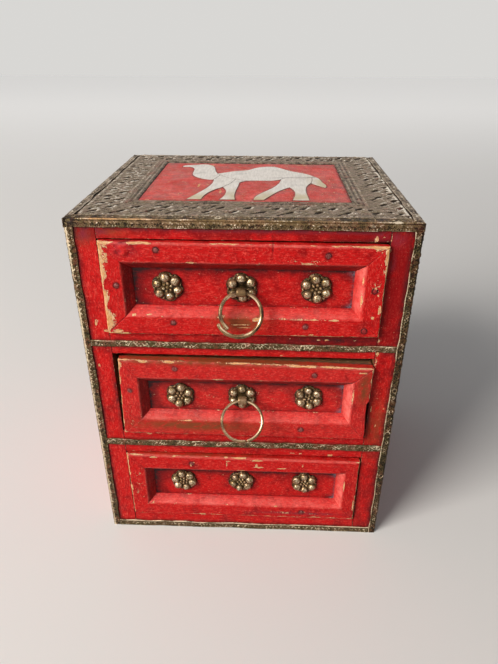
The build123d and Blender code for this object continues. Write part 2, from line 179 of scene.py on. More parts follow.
def relief_bump(tree, shader, height, depth):
    """Tilts the surface as if it rose by `depth` mm where the height is 1."""
    bump = add(tree, "ShaderNodeBump", {"Height": height, "Distance": depth * MM, "Strength": 1.0})
    tree.links.new(bump.outputs[0], shader.inputs["Normal"])


print("finish helpers ready")

# %% [markdown]
# # A room to see it in
# A pale floor and a pale sky keep attention on the chest. What the camera sees of them can be pale
# without flooding the chest with light: the Light Path node tells a camera ray from the rays that
# carry light between surfaces, so the floor sends back less light than it shows. Far from the lamps it
# would turn grey, so a little glow, seen but not sent, brings it up to the sky behind it. The sky sends
# most of its light from the window's side, which keeps the deep shade inside the drawer fronts.

# %% Floor and sky
FLOOR_SEEN = colour(226, 223, 218)
FLOOR_SENT = colour(120, 116, 112)
SKY_SEEN = (0.69, 0.68, 0.66, 1.0)


def seen_directly(tree):
    """1 for rays from the camera, and for those a shiny or clear surface passes on."""
    path = add(tree, "ShaderNodeLightPath").outputs
    shiny = calc(tree, "MAXIMUM", path["Is Glossy Ray"], path["Is Transmission Ray"])
    return calc(tree, "MAXIMUM", path["Is Camera Ray"], shiny)


bpy.ops.mesh.primitive_plane_add(size=8.0, location=(0, 0, 0))
floor = bpy.context.object
floor.name = "floor"
floor_finish, tree, shader = finish_of("floor")
tree.links.new(mix(tree, seen_directly(tree), FLOOR_SENT, FLOOR_SEEN), shader.inputs["Base Color"])
far = times(tree, rise(tree, place_on(tree)["Y"], -0.3, 2.3), seen_directly(tree))
tree.links.new(times(tree, far, 0.47), shader.inputs["Emission Strength"])
shader.inputs["Emission Color"].default_value = (1.0, 0.985, 0.96, 1.0)
shader.inputs["Roughness"].default_value = 0.7
shader.inputs["Specular IOR Level"].default_value = 0.2
floor.data.materials.append(floor_finish)

sky = bpy.data.worlds.new("sky")
bpy.context.scene.world = sky
sky.use_nodes = True
tree = sky.node_tree
background = tree.nodes["Background"]
toward = add(tree, "ShaderNodeTexCoord").outputs["Generated"]
side = add(tree, "ShaderNodeSeparateXYZ", {0: toward}).outputs["X"]
window_side = rise(tree, times(tree, side, -1.0), -0.4, 1.0)
light = mix(tree, window_side, (0.04, 0.04, 0.045, 1), (0.42, 0.43, 0.45, 1))
tree.links.new(mix(tree, seen_directly(tree), light, SKY_SEEN), background.inputs["Color"])
print("floor and sky ready")

# %% [markdown]
# # Lamps
# One broad lamp stands for the window, high up to the front left. A much weaker one above and in front
# keeps the drawer fronts readable. Broad lamps give soft shadows, which suit small
# things: a hard shadow would make the chest look like a building.

# %% Lamps
LAMPS = {"window": dict(at=(-1.45, -1.25, 1.25), size=1.1, power=62.0, tint=(1.0, 0.97, 0.94)),
         "room": dict(at=(0.2, -1.6, 1.9), size=1.2, power=5.0, tint=(0.97, 0.98, 1.0))}
AIM = Vector((0, 0, 0.11))
for name, lamp in LAMPS.items():
    light = bpy.data.lights.new(name, "AREA")
    light.size, light.energy, light.color = lamp["size"], lamp["power"], lamp["tint"]
    holder = bpy.data.objects.new(name, light)
    holder.location = lamp["at"]
    holder.rotation_euler = (AIM - holder.location).to_track_quat("-Z", "Y").to_euler()
    bpy.context.scene.collection.objects.link(holder)
print("lamps:", ", ".join(LAMPS))

# %% [markdown]
# # From arrays to a mesh
# Every new piece is worked out as whole arrays. Two kinds of mesh are enough. A *sheet* is a grid of
# points with a plain back: it suits anything that is looked at from one side, such as a moulding or a
# strip of brass, because the back then costs almost no faces. A *block* is the skin of a lattice of
# cells: it suits boards, which have six sides.

# %% Mesh helpers
def new_piece(name, points, faces, body, finish, stands_for, marks=None):
    """A mesh piece from points in mm and a list of face arrays, each (count, corners).

    It rides with its body and takes the place of the CAD nodes it stands for. Marks are numbers that
    each point carries for its finish, such as how far the paint is worn.
    """
    corners = np.concatenate([f.ravel() for f in faces]).astype(np.int32)
    sizes = np.concatenate([np.full(len(f), f.shape[1]) for f in faces])
    mesh = bpy.data.meshes.new(name)
    mesh.vertices.add(len(points))
    mesh.vertices.foreach_set("co", (points * MM).astype(np.float32).ravel())
    mesh.loops.add(len(corners))
    mesh.loops.foreach_set("vertex_index", corners)
    mesh.polygons.add(len(sizes))
    mesh.polygons.foreach_set("loop_start", np.concatenate([[0], np.cumsum(sizes)[:-1]]).astype(np.int32))
    mesh.polygons.foreach_set("use_smooth", np.ones(len(sizes), bool))
    for mark, values in (marks or {}).items():
        layer = mesh.attributes.new(mark, "FLOAT", "POINT")
        layer.data.foreach_set("value", np.broadcast_to(values, len(points)).astype(np.float32))
    mesh.update(calc_edges=True)
    mesh.validate()
    mesh.materials.append(finish)
    piece = bpy.data.objects.new(name, mesh)
    bpy.context.scene.collection.objects.link(piece)
    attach(piece, body)
    if stands_for:
        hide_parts(*stands_for)
    return piece


def grid_faces(numbers):
    """The quads between neighbouring points of a 2-D array of point numbers."""
    corners = [numbers[:-1, :-1], numbers[1:, :-1], numbers[1:, 1:], numbers[:-1, 1:]]
    return np.stack(corners, -1).reshape(-1, 4)


def facing_out(points, faces):
    """The faces, turned over if they enclose a negative volume: the sum of corner triple products."""
    volume = 0.0
    for f in faces:
        for k in range(1, f.shape[1] - 1):
            a, b, c = points[f[:, 0]], points[f[:, k]], points[f[:, k + 1]]
            volume += np.einsum("ij,ij->", a, np.cross(b, c))
    return faces if volume > 0 else [f[:, ::-1] for f in faces]


def sheet(front, back):
    """A closed piece from a fine front grid (n, m, 3) and a back of a few lines (n, k, 3).

    The first and last lines of the back lie behind the first and last lines of the front. The two
    long sides are one quad wide, the back is a ladder of quads, and each end is a single face.
    """
    n, m = front.shape[:2]
    k = back.shape[1]
    points = np.concatenate([front.reshape(-1, 3), back.reshape(-1, 3)])
    over = np.arange(n * m).reshape(n, m)
    under = n * m + np.arange(n * k).reshape(n, k)
    faces = [grid_faces(over), grid_faces(under)[:, ::-1]]
    faces.append(grid_faces(np.stack([under[:, 0], over[:, 0]], 1)))
    faces.append(grid_faces(np.stack([over[:, -1], under[:, -1]], 1)))
    faces.append(np.concatenate([over[0], under[0][::-1]])[None])
    faces.append(np.concatenate([over[-1], under[-1][::-1]])[None, ::-1])
    return points, facing_out(points, faces)


def with_back(back, marks, behind=None):
    """Marks worked out on the front grid of a sheet, carried on over its back.

    On the back a mark is 0, or the number that behind gives it.
    """
    count = back[..., 0].size
    return {name: np.concatenate([values.ravel(), np.full(count, (behind or {}).get(name, 0.0))])
            for name, values in marks.items()}


def block(counts):
    """The lattice numbers (points, 3) on the skin of a block of cells, and its quads."""
    shape = tuple(c + 1 for c in counts)
    skin = np.ones(shape, bool)
    skin[1:-1, 1:-1, 1:-1] = False
    numbers = np.full(shape, -1)
    numbers[skin] = np.arange(skin.sum())
    faces = []
    for axis in range(3):
        for end in (0, -1):
            quads = grid_faces(np.take(numbers, end, axis=axis))
            faces.append(quads[:, ::-1] if (end == 0) != (axis == 1) else quads)
    return np.argwhere(skin), faces


def ripple(points, length, seed, waves=10):
    """Smooth unevenness from about -1 to 1: a sum of plane waves in scattered directions."""
    draw = np.random.default_rng(seed)
    heading = draw.normal(size=(waves, 3))
    wavelength = length * draw.uniform(0.6, 1.6, (waves, 1))
    heading *= 2 * np.pi / (wavelength * np.linalg.norm(heading, axis=1)[:, None])
    phase = draw.uniform(0, 2 * np.pi, waves)
    return np.sin(points @ heading.T + phase).sum(-1) * (2 / waves) ** 0.5 / 1.5


def bump(distance, width):
    """A rounded ridge: 1 where the distance is 0, falling away as a bell within the width."""
    return np.exp(-(distance / width) ** 2)


def past(distance):
    """A distance where it is positive, and 0 on the near side of the line it is measured from."""
    return np.clip(distance, 0, None)


def highest(*heights):
    """The greatest of several arrays at each place: where two shapes meet, the higher one wins."""
    return np.maximum.reduce(np.broadcast_arrays(*heights))


def spots(points, places):
    """How strongly each point is marked by patches (x, z, half width, half height): 0.5 on their outline."""
    mark = np.zeros(points.shape[:-1])
    for x, z, half_width, half_height in places:
        away = ((points[..., 0] - x) / half_width) ** 2 + ((points[..., 2] - z) / half_height) ** 2
        mark = np.maximum(mark, 0.5 ** away)
    return mark


def rectangle(x0, x1, z0, z1):
    """Its corners, from the lower left and round by the lower right."""
    return np.array([(x0, z0), (x1, z0), (x1, z1), (x0, z1)], float)


def shrunk(sides, by):
    """The sides (x0, x1, z0, z1) of a rectangle, each moved in."""
    x0, x1, z0, z1 = sides
    return x0 + by, x1 - by, z0 + by, z1 - by


def inset_of(across, up, x0, x1, z0, z1):
    """How far in from the nearest side of a rectangle each place is."""
    return np.minimum(np.minimum(across - x0, x1 - across), np.minimum(up - z0, z1 - up))


def box_mm(node):
    """The two corners of a node's box."""
    low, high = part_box(node)
    return np.array(low) / MM, np.array(high) / MM


print("mesh helpers ready")

# %% [markdown]
# # Worn red paint
# The red is a thin, brittle coat over a dry softwood. It has gone where hands and drawers rub it: along
# edges, at corners and round the pulls. Each piece therefore carries marks worked out with its shape:
# `wear` is how far the paint is rubbed, and the finish breaks that smooth number up with noise, so that
# a chip has a ragged edge at every scale. The grime mark darkens the paint with dirt, and is also painted
# shade: in the gaps, in creases, beside the brass and on the faces turned from the window. `scuff`
# darkens it too. `deep` keeps it a deep red, and also paints the shadow under the top drawer and inside
# the panels. The faded mark is paint bleached by light, and also a painted sheen on the top and on the
# faces turned to the window. `browned` is what hands have done to it, `dust` lies in the corners, and
# `raw` is for faces that were never painted.

# %% Red paint
RED, DEEP_RED, PALE_RED = colour(206, 20, 20), colour(146, 6, 10), colour(240, 84, 72)
SHEEN_AND_FADED_RED, RUBBED_RED = colour(243, 124, 112), colour(112, 30, 18)
GROUND, WOOD, DARK_WOOD = colour(241, 204, 160), colour(226, 160, 100), colour(160, 92, 48)
RAW_WOOD, PALE_RAW_WOOD = colour(148, 102, 62), colour(190, 146, 98)
SCUFFED, SHADE_AND_GRIME, DUST = colour(144, 42, 54), colour(46, 22, 24), colour(124, 110, 122)
FLECK, BROWN = colour(242, 148, 122), colour(138, 66, 36)
AXES = "xyz"


def red_paint(along):
    """The paint on a piece whose grain and brush strokes run along one axis: 0, 1 or 2."""
    material, tree, shader = finish_of(f"red_paint_{AXES[along]}")
    drawn = [1.0, 1.0, 1.0]
    drawn[along] = 4.0
    strokes, hairs = cloud(tree, 0.7, 5, drawn, roughness=0.65), cloud(tree, 0.5, 4, drawn, shift=1.0)
    patches = cloud(tree, 7.0, 6)
    grit = cloud(tree, 0.95, 5, shift=3.0, roughness=0.65)
    mottle = cloud(tree, 3.6, 5, shift=21.0, roughness=0.65)
    drawn[along] = 2.0
    ragged = cloud(tree, 2.6, 9, drawn, roughness=0.72)

    tone = calc(tree, "SUBTRACT", patches, value_of(tree, "deep"))
    paint = mix(tree, rise(tree, tone, 0.22, 0.52), DEEP_RED, RED)
    pale = calc(tree, "SUBTRACT", 0.7, times(tree, value_of(tree, "deep"), 1.6))
    paint = mix(tree, times(tree, rise(tree, strokes, 0.50, 0.70), pale), paint, PALE_RED)
    paint = mix(tree, times(tree, rise(tree, hairs, 0.50, 0.64), 0.6), paint, DEEP_RED)
    paint = mix(tree, times(tree, rise(tree, grit, 0.54, 0.68), pale), paint, PALE_RED)
    specks = rise(tree, cloud(tree, 0.34, 3, shift=11.0), 0.64, 0.72)
    specks = times(tree, specks, rise(tree, patches, 0.40, 0.60))
    paint = mix(tree, times(tree, specks, 0.7), paint, FLECK)
    uneven = calc(tree, "MULTIPLY_ADD", rise(tree, mottle, 0.36, 0.62), 0.55, 0.45)
    uneven = times(tree, uneven, rise(tree, strokes, 0.10, 0.55))
    # Two of these tints also stand in for light: the faded one is also a painted sheen, the grime one also
    # painted shade.
    stains = (("fade_and_sheen", uneven, SHEEN_AND_FADED_RED),
              ("browned", rise(tree, ragged, 0.30, 0.56), BROWN),
              ("scuff", rise(tree, ragged, 0.34, 0.54), SCUFFED),
              ("grime_and_shade", rise(tree, ragged, 0.25, 0.60), SHADE_AND_GRIME),
              ("dust", rise(tree, grit, 0.35, 0.60), DUST))
    for mark, broken_up, tint in stains:
        paint = mix(tree, times(tree, value_of(tree, mark), broken_up), paint, tint)

    drawn[along] = 3.0
    flecks = times(tree, rise(tree, cloud(tree, 0.8, 6, drawn, 7.0, 0.7), 0.665, 0.69),
                  rise(tree, cloud(tree, 11.0, 3, shift=5.0), 0.50, 0.62))
    paint = mix(tree, times(tree, flecks, 0.85), paint, GROUND)

    broken = calc(tree, "ADD", times(tree, ragged, 1.7), times(tree, cloud(tree, 0.7, 3), 1.1))
    rubbed = calc(tree, "ADD", value_of(tree, "wear"), calc(tree, "SUBTRACT", broken, 1.4))
    bare, deep = rise(tree, rubbed, 0.49, 0.51), rise(tree, rubbed, 0.53, 0.64)
    wood = mix(tree, rise(tree, strokes, 0.40, 0.70), WOOD, GROUND)
    wood = mix(tree, times(tree, rise(tree, hairs, 0.50, 0.66), 0.6), wood, DARK_WOOD)
    paint = mix(tree, times(tree, rise(tree, rubbed, 0.40, 0.49), 0.55), paint, RUBBED_RED)
    paint = mix(tree, bare, paint, mix(tree, deep, GROUND, wood))
    raw = value_of(tree, "raw")
    raw_wood = mix(tree, rise(tree, strokes, 0.3, 0.7), RAW_WOOD, PALE_RAW_WOOD)
    tree.links.new(mix(tree, raw, paint, raw_wood), shader.inputs["Base Color"])

    dull = calc(tree, "MAXIMUM", calc(tree, "MAXIMUM", bare, raw), rise(tree, patches, 0.3, 1.1))
    rough = add(tree, "ShaderNodeMapRange", {"Value": dull, "To Min": 0.36, "To Max": 0.85}).outputs[0]
    tree.links.new(rough, shader.inputs["Roughness"])
    shader.inputs["Specular IOR Level"].default_value = 0.17
    height = calc(tree, "ADD", times(tree, strokes, 0.5), times(tree, grit, 0.7))
    height = calc(tree, "SUBTRACT", height, times(tree, bare, 0.7))
    relief_bump(tree, shader, height, 0.34)
    return material


PAINT = [red_paint(axis) for axis in range(3)]
print("paints:", [m.name for m in PAINT])

# %% [markdown]
# # Boards
# The carcase is two sides, a top, a bottom, a back and two dividers. A planed board is never a perfect
# box: its edges are rounded by use and its faces are a little uneven. Each board is the skin of a
# lattice over its frame's box, drawn in at the edges. Only inwards, so that no board grows. The front
# edges show between the drawers, and their marks are set one by one, as ellipses.

# %% Boards
HEIGHT = 200.0                        # to the outer face of the brass on the top
SHEET = 0.5                           # thickness of the brass
X_OUT, Y_OUT = 82.5, 73.0             # half the width and half the depth, over the brass
EDGE_LEG, CORNER_LEG, FOOT_LEG = 4.5, 4.3, 4.4        # how far each strip reaches over a face
TOP_SUNK = 0.4                        # how far below the brass the top board is kept
EDGE_ROUND = 0.3                      # radius of the boards' edges


def cell_lines(low, high, step, rounding):
    """Lattice lines from low to high, close together at both ends, where the edge is rounded."""
    near = rounding * np.array([0, 0.35, 0.7, 1.0, 1.5])
    middle = np.linspace(low + near[-1], high - near[-1], max(2, round((high - low) / step)))
    return np.unique(np.concatenate([low + near, middle, high - near]))


def rounded_board(node, steps, rounding, seed):
    """Points of a board, drawn in until each is one radius from an inner box; the faces; and where
    each point was on the plain box, with its distance from the nearest edge."""
    low, high = box_mm(node)
    high[2] = min(high[2], HEIGHT - SHEET - TOP_SUNK)
    lines = [cell_lines(a, b, step, rounding) for a, b, step in zip(low, high, steps)]
    where, faces = block([len(line) - 1 for line in lines])
    flat = np.stack([line[where[:, axis]] for axis, line in enumerate(lines)], 1)
    core = np.clip(flat, low + rounding, high - rounding)
    out = (flat - core) / np.linalg.norm(flat - core, axis=1)[:, None]
    dip = 0.06 * (1 + ripple(flat, 17.0, seed)) + 0.03 * (1 + ripple(flat, 5.0, seed + 1))
    edge = np.sort(np.minimum(flat - low, high - flat), axis=1)[:, 1]
    return core + out * (rounding - dip[:, None]), faces, flat, edge


BOARDS = {       # grain: the axis it runs along. raw: unpainted faces, as (axis, which end)
    "left_side": dict(grain=2, steps=(0.6, 5.0, 0.9), raw=[(0, 1)]),
    "right_side": dict(grain=2, steps=(0.6, 5.0, 0.9), raw=[(0, 0)]),
    "bottom_board": dict(grain=0, steps=(1.2, 5.0, 0.8), raw=[(2, 0), (2, 1)]),
    "top_board": dict(grain=0, steps=(0.8, 5.0, 0.7), raw=[(2, 0)]),
    "back_panel": dict(grain=0, steps=(3.0, 4.0, 3.0), raw=[(1, 0)]),
    "lower_divider": dict(grain=0, steps=(0.7, 5.0, 0.7), raw=[(2, 0), (2, 1)]),
    "upper_divider": dict(grain=0, steps=(0.7, 5.0, 0.7), raw=[(2, 0), (2, 1)]),
}
BOARD_MARKS = {  # patches on the front edges: x, z, half width, half height. dark: a deeper red, and on the upper divider a painted shadow. dirty patches: dirt, and painted shade in the gaps
    "left_side": dict(
        chipped=[(-74.2, 145.4, 0.5, 2.0), (-73.2, 146.7, 0.5, 0.5), (-73.8, 143.2, 0.9, 0.4),
                 (-69.5, 141.0, 1.2, 0.7), (-76.0, 120.0, 0.5, 0.9)],
        scuffed=[(-74.0, 192.5, 2.6, 3.0)],
        browned=[(-75.0, 191.5, 4.5, 4.5)],
        dark=[(-70.0, 195.0, 7.0, 4.5)],
        # Painted shade in the gap beside the middle drawer.
        dirt_and_shade=[(-68.4, 103.0, 1.3, 26.0)]),
    "right_side": dict(
        chipped=[(69.0, 131.0, 0.5, 1.4), (68.8, 126.0, 0.3, 2.6), (69.4, 180.0, 0.2, 3.0),
                 (70.0, 175.0, 0.5, 0.25), (68.4, 186.0, 0.25, 0.8), (68.7, 138.2, 0.3, 2.6),
                 (69.8, 95.5, 0.35, 2.2), (76.4, 96.0, 0.6, 0.3), (73.0, 84.0, 0.3, 0.8)],
        scuffed=[(71.4, 192.0, 2.8, 3.0), (70.3, 180.0, 1.0, 3.5)],
        browned=[(73.5, 84.0, 7.0, 14.0)],
        dark=[(76.0, 170.0, 14.0, 34.0), (88.0, 36.0, 14.0, 30.0)],
        # Painted shade in the slot where the middle drawer's moulding has broken away.
        dirt_and_shade=[(68.5, 92.0, 0.9, 12.0)]),
    "top_board": dict(
        chipped=[(61.4, 191.5, 0.8, 1.2), (65.6, 194.4, 0.25, 1.0), (64.6, 192.6, 0.8, 0.2),
                 (67.4, 193.4, 0.4, 0.3)],
        scuffed=[(64.7, 193.5, 3.5, 2.0), (-66.0, 193.6, 3.0, 2.2), (20.0, 194.6, 60.0, 0.7)],
        browned=[(-64.0, 193.5, 9.0, 2.0)],
        dark=[(72.0, 193.0, 34.0, 6.0), (6.0, 198.0, 40.0, 4.6)],
        # A dark crack, and painted shade over the right end of the top drawer.
        dirt_and_shade=[(14.2, 191.6, 0.3, 1.6), (60.0, 190.0, 20.0, 1.2)]),
    "upper_divider": dict(
        chipped=[(-50.0, 129.5, 0.6, 0.3), (20.0, 128.4, 1.0, 0.3), (38.5, 138.1, 0.9, 0.3),
                 (42.4, 137.9, 1.2, 0.3), (29.0, 138.4, 0.5, 0.3), (56.7, 138.2, 0.8, 0.25),
                 (24.0, 138.6, 0.4, 0.25)],
        # Under the top drawer the dark band and the dirty patch are painted shadow.
        dark=[(60.0, 138.0, 50.0, 3.0)],
        dirt_and_shade=[(45.0, 138.0, 24.0, 1.8)]),
    "lower_divider": dict(
        chipped=[(32.8, 62.6, 0.9, 0.5), (50.0, 62.2, 1.2, 0.4), (-59.0, 75.4, 1.3, 0.5),
                 (-47.0, 75.8, 1.5, 0.35), (28.0, 62.8, 1.6, 0.25), (-53.0, 74.4, 1.6, 0.5)]),
    "bottom_board": dict(chipped=[(-25.0, 11.0, 1.4, 0.4), (-18.0, 11.4, 1.0, 0.3)]),
    "back_panel": {},
}
STRIPS_X, STRIPS_Z = 78.0, (195.3, 135.5, 131.8, 70.4, 66.3, 4.6)       # edges of the brass over the boards


def board_paint(node, raw_faces, flat, edge, seed):
    """The marks of a board: set ones on its front edge, painted shade in the gaps and beside the brass,
    and on its faces what hands and brass have done.
    """
    low, high = box_mm(node)
    inward = flat[:, 1] - low[1]
    front = np.clip(1 - inward / 2.0, 0, 1)
    raw, gap_shade = np.zeros(len(flat)), np.zeros(len(flat))
    # Near the front the unpainted inner faces get painted shade, so the gaps beside the drawers look dark.
    for axis, end in raw_faces:
        on_face = np.abs(flat[:, axis] - (low, high)[end][axis]) < 0.01
        raw = np.maximum(raw, on_face * np.clip(inward / 5.0, 0, 1))
        gap_shade = np.maximum(gap_shade, on_face * np.clip(1 - inward / 9.0, 0, 1))
    patches = {mark: spots(flat, BOARD_MARKS[node].get(mark, ()))
               for mark in ("chipped", "scuffed", "browned", "dark", "dirt_and_shade")}

    # Beside each brass strip a dark line: dirt, and the painted shadow of the strip's lifted edge. The dirty
    # patches add painted shade in the gaps round the drawers.
    beside = 0.8 * bump(np.abs(flat[:, 0]) - STRIPS_X, 1.5)
    for z in STRIPS_Z:
        beside = np.maximum(beside, 0.7 * bump(flat[:, 2] - z, 1.2))
    beside = highest(beside, 0.15 * bump(edge, 1.2), 0.9 * patches["dirt_and_shade"]) * front
    to_brass = np.stack([Y_OUT - CORNER_LEG - np.abs(flat[:, 1]), STRIPS_Z[0] - flat[:, 2],
                         flat[:, 2] - STRIPS_Z[-1]]).min(0)
    by_brass = bump(past(to_brass), 2.4) * (1 - front)
    handled = np.clip(ripple(flat, 34.0, seed), 0, 1) * (1 - front)

    rubbed = (0.13 if node == "back_panel" else 0.19) * handled + 0.24 * by_brass
    # The dark patches are a deeper red; on the upper divider they are the painted shadow under the top
    # drawer. Towards the top the front edges darken a little.
    deep = 0.36 * patches["dark"] + 0.06 * np.clip((flat[:, 2] - 186) / 7, 0, 1)
    return {"wear": highest(patches["chipped"] * front, 0.36 * bump(edge, 0.5), rubbed),
            "raw": raw,
            "scuff": patches["scuffed"] * front,
            "grime_and_shade": highest(beside, 0.6 * by_brass, 1.2 * gap_shade),
            "deep": deep * front,
            "browned": 0.7 * patches["browned"] * front + 0.2 * handled}


for number, (node, board) in enumerate(BOARDS.items()):
    points, faces, flat, edge = rounded_board(node, board["steps"], EDGE_ROUND, 10 * number)
    new_piece(f"{node}_painted", points, faces, "carcase", PAINT[board["grain"]], [node],
              board_paint(node, board["raw"], flat, edge, 10 * number + 5))
print("boards:", len(BOARDS))

# %% [markdown]
# # The painted field of the top
# Inside the brass border the top board stands half a millimetre higher, up to the brass, and is painted
# red around the inlay. It is a sheet with a fine front: the hollows of the board show in raking light.

# %% Painted field
PANEL_X, PANEL_Y = (-54.2, 53.6), (-42.5, 47.0)
FIELD_WEAR = [(-50.0, -41.0, 1.6, 0.5), (41.5, 12.0, 1.0, 0.8), (-27.0, -11.0, 0.5, 3.0),
              (46.0, 3.0, 0.5, 2.0), (-14.0, -24.0, 0.5, 3.0), (33.0, 43.0, 3.0, 0.4),
              (-24.0, 40.0, 0.5, 1.6)]           # x, y, half width, half depth
FIELD_SCUFF = [(0.0, 44.5, 56.0, 2.0)]


def level_grid(x_range, y_range, step):
    """A level grid of points over a rectangle, in mm."""
    counts = [round((high - low) / step) + 1 for low, high in (x_range, y_range)]
    x, y = np.meshgrid(np.linspace(*x_range, counts[0]), np.linspace(*y_range, counts[1]), indexing="ij")
    return np.stack([x, y, np.zeros_like(x)], -1)


def outline_of(node):
    """Points about half a millimetre apart along the upright walls of a node, seen from above, in mm."""
    mesh = bpy.data.objects[node].data
    mesh.calc_loop_triangles()
    corners = np.empty(len(mesh.vertices) * 3, np.float32)
    mesh.vertices.foreach_get("co", corners)
    numbers = np.empty(len(mesh.loop_triangles) * 3, np.int32)
    mesh.loop_triangles.foreach_get("vertices", numbers)
    triangles = corners.reshape(-1, 3)[numbers].reshape(-1, 3, 3) / MM
    normals = np.cross(triangles[:, 1] - triangles[:, 0], triangles[:, 2] - triangles[:, 0])
    walls = triangles[np.abs(normals[:, 2]) < 0.1 * np.linalg.norm(normals, axis=1)]
    share = np.linspace(0, 1, 9)[:, None, None, None]
    along = walls + share * (np.roll(walls, 1, axis=1) - walls)
    return np.unique(np.round(along[..., :2].reshape(-1, 2) * 2), axis=0) / 2


def distance_to(places, points):
    """How far each point of a grid (n, m, 2) is from the nearest of the places, in mm."""
    nearest = [np.linalg.norm(row[:, None] - places, axis=2).min(1) for row in points]
    return np.stack(nearest)


def painted_field():
    """The height is the sheet's, less a slow ripple and a rounded fall at the rim."""
    front = level_grid(PANEL_X, PANEL_Y, 0.6)
    rim = inset_of(front[..., 0], front[..., 1], *PANEL_X, *PANEL_Y)
    front[..., 2] = HEIGHT - 0.05 * (1 + ripple(front, 19.0, 91)) - 0.35 * bump(rim, 0.6)
    back = front[:, [0, -1]].copy()
    back[..., 2] = HEIGHT - 2 * SHEET
    points, faces = sheet(front, back)
    turned = points[:, [0, 2, 1]]
    by_bone = bump(past(distance_to(outline_of("camel_inlay"), front[..., :2]) - 0.3), 0.45)
    marks = {"wear": np.maximum(spots(turned, FIELD_WEAR), 0.20),
             "deep": 0.05,
             # The faded mark on the top is paint bleached by light, and also a painted sheen from the window.
             "fade_and_sheen": 0.52 + 0.13 * ripple(points, 24.0, 93) + 0.12 * ripple(points, 4.0, 94),
             "browned": 0.16 + 0.16 * ripple(points, 12.0, 95),
             "scuff": 0.3 * spots(turned, FIELD_SCUFF),
             **with_back(back, {"grime_and_shade": np.maximum(0.5 * bump(rim, 1.6), 0.75 * by_bone)})}
    return new_piece("painted_field", points, faces, "carcase", PAINT[1], ["top_board"], marks)


painted_field()
print("painted field done")

# %% [markdown]
# # Aged brass
# Thin brass sheet is embossed over a pattern, folded, and nailed on. After some decades the hollows
# are nearly black, the raised lines are rubbed back to metal, and the rest is a dull olive brown. The
# shape itself tells the finish where it is raised: each point carries `relief`, from 0 in a hollow to 1
# on a ridge, `gilt`, where rubbing has left it golden, and `paint_smear`, where a brush has strayed. On
# some pieces relief is also raised for painted highlights and lowered for painted shade.

# %% Brass finish
SMEARED_RED = colour(172, 52, 50)
RUBBED_GOLD = (212, 160, 106)


def aged_brass(name, tones, rough, metal, speckle=1.0):
    """Aged brass. tones: hollow, plain, tinted, rubbed and gilt. The relief chooses among them, and
    noise breaks the edges between them up: speckle is how much of it there is."""
    hollow, plain, tinted, rubbed, gilt = (colour(*tone) for tone in tones)
    material, tree, shader = finish_of(name)
    patina = cloud(tree, 1.6, 7, roughness=0.7)
    grit = cloud(tree, 0.5, 4, shift=2.0)
    relief = value_of(tree, "relief")
    for noise, share in ((patina, 1.5), (grit, 1.8)):
        relief = calc(tree, "ADD", relief, times(tree, calc(tree, "SUBTRACT", noise, 0.5), share * speckle))
    body = mix(tree, rise(tree, cloud(tree, 5.0, 4, shift=9.0), 0.42, 0.58), plain, tinted)
    body = mix(tree, rise(tree, relief, 0.02, 0.36), hollow, body)
    body = mix(tree, times(tree, rise(tree, relief, 0.62, 0.95), 0.9), body, rubbed)
    golden = times(tree, value_of(tree, "gilt"), rise(tree, patina, 0.30, 0.50))
    body = mix(tree, golden, body, gilt)
    red = times(tree, value_of(tree, "paint_smear"), rise(tree, patina, 0.42, 0.56))
    body = mix(tree, red, body, SMEARED_RED)
    tree.links.new(body, shader.inputs["Base Color"])
    shine = times(tree, rise(tree, relief, 0.0, 0.5), metal)
    tree.links.new(times(tree, shine, calc(tree, "SUBTRACT", 1.0, red)), shader.inputs["Metallic"])
    tree.links.new(calc(tree, "ADD", rough, times(tree, patina, 0.25)), shader.inputs["Roughness"])
    shader.inputs["Specular IOR Level"].default_value = 0.15
    relief_bump(tree, shader, grit, 0.10 * speckle)
    return material


STRIP_BRASS = aged_brass("strip_brass", [(38, 28, 18), (104, 88, 58), (128, 104, 76), (232, 214, 188),
                                         RUBBED_GOLD], 0.28, metal=0.45)
EDGE_BRASS = aged_brass("edge_brass", [(56, 43, 31), (144, 129, 107), (158, 138, 118), (226, 214, 196),
                                       RUBBED_GOLD], 0.34, metal=0.4)
CORNER_BRASS = aged_brass("corner_brass", [(28, 23, 12), (88, 75, 45), (108, 86, 60), (232, 212, 178),
                                           RUBBED_GOLD], 0.28, metal=0.45)
BORDER_BRASS = aged_brass("border_brass", [(40, 29, 20), (132, 116, 94), (150, 130, 112), (226, 216, 200),
                                           (200, 160, 100)], 0.40, metal=0.4)
NAIL_BRASS = aged_brass("nail_brass", [(40, 30, 22), (112, 94, 70), (124, 104, 84), (216, 202, 172),
                                       (210, 170, 100)], 0.24, metal=0.5, speckle=0.5)
print("brass finishes ready")

# %% [markdown]
# # The embossed pattern of the strips
# The narrow strips carry a chain of small slanted leaves, a row of beads and a raised line by the edge.
# On some, two crossing waves and round flowers take the place of the leaves. All of it is one height over
# two lengths, along the strip and across it: each shape is a bell-shaped bump of the distance to it, and
# where two meet the higher one wins.

# %% Pattern along a strip
LEAF_STEP, BEAD_STEP = 2.1, 1.25
FLOWER_STEP, FLOWER = 15.0, 1.1       # how far apart the flowers are, and their radius
WAVE, WAVE_STEP = 0.75, 3.6           # how far the two waves swing, and the length of one wave
EMBOSS = 0.42                         # the height of the pattern, in mm


def wrapped(distance, pitch):
    """The distance to the nearest of a row of marks one pitch apart."""
    return (distance / pitch + 0.5) % 1 * pitch - pitch / 2


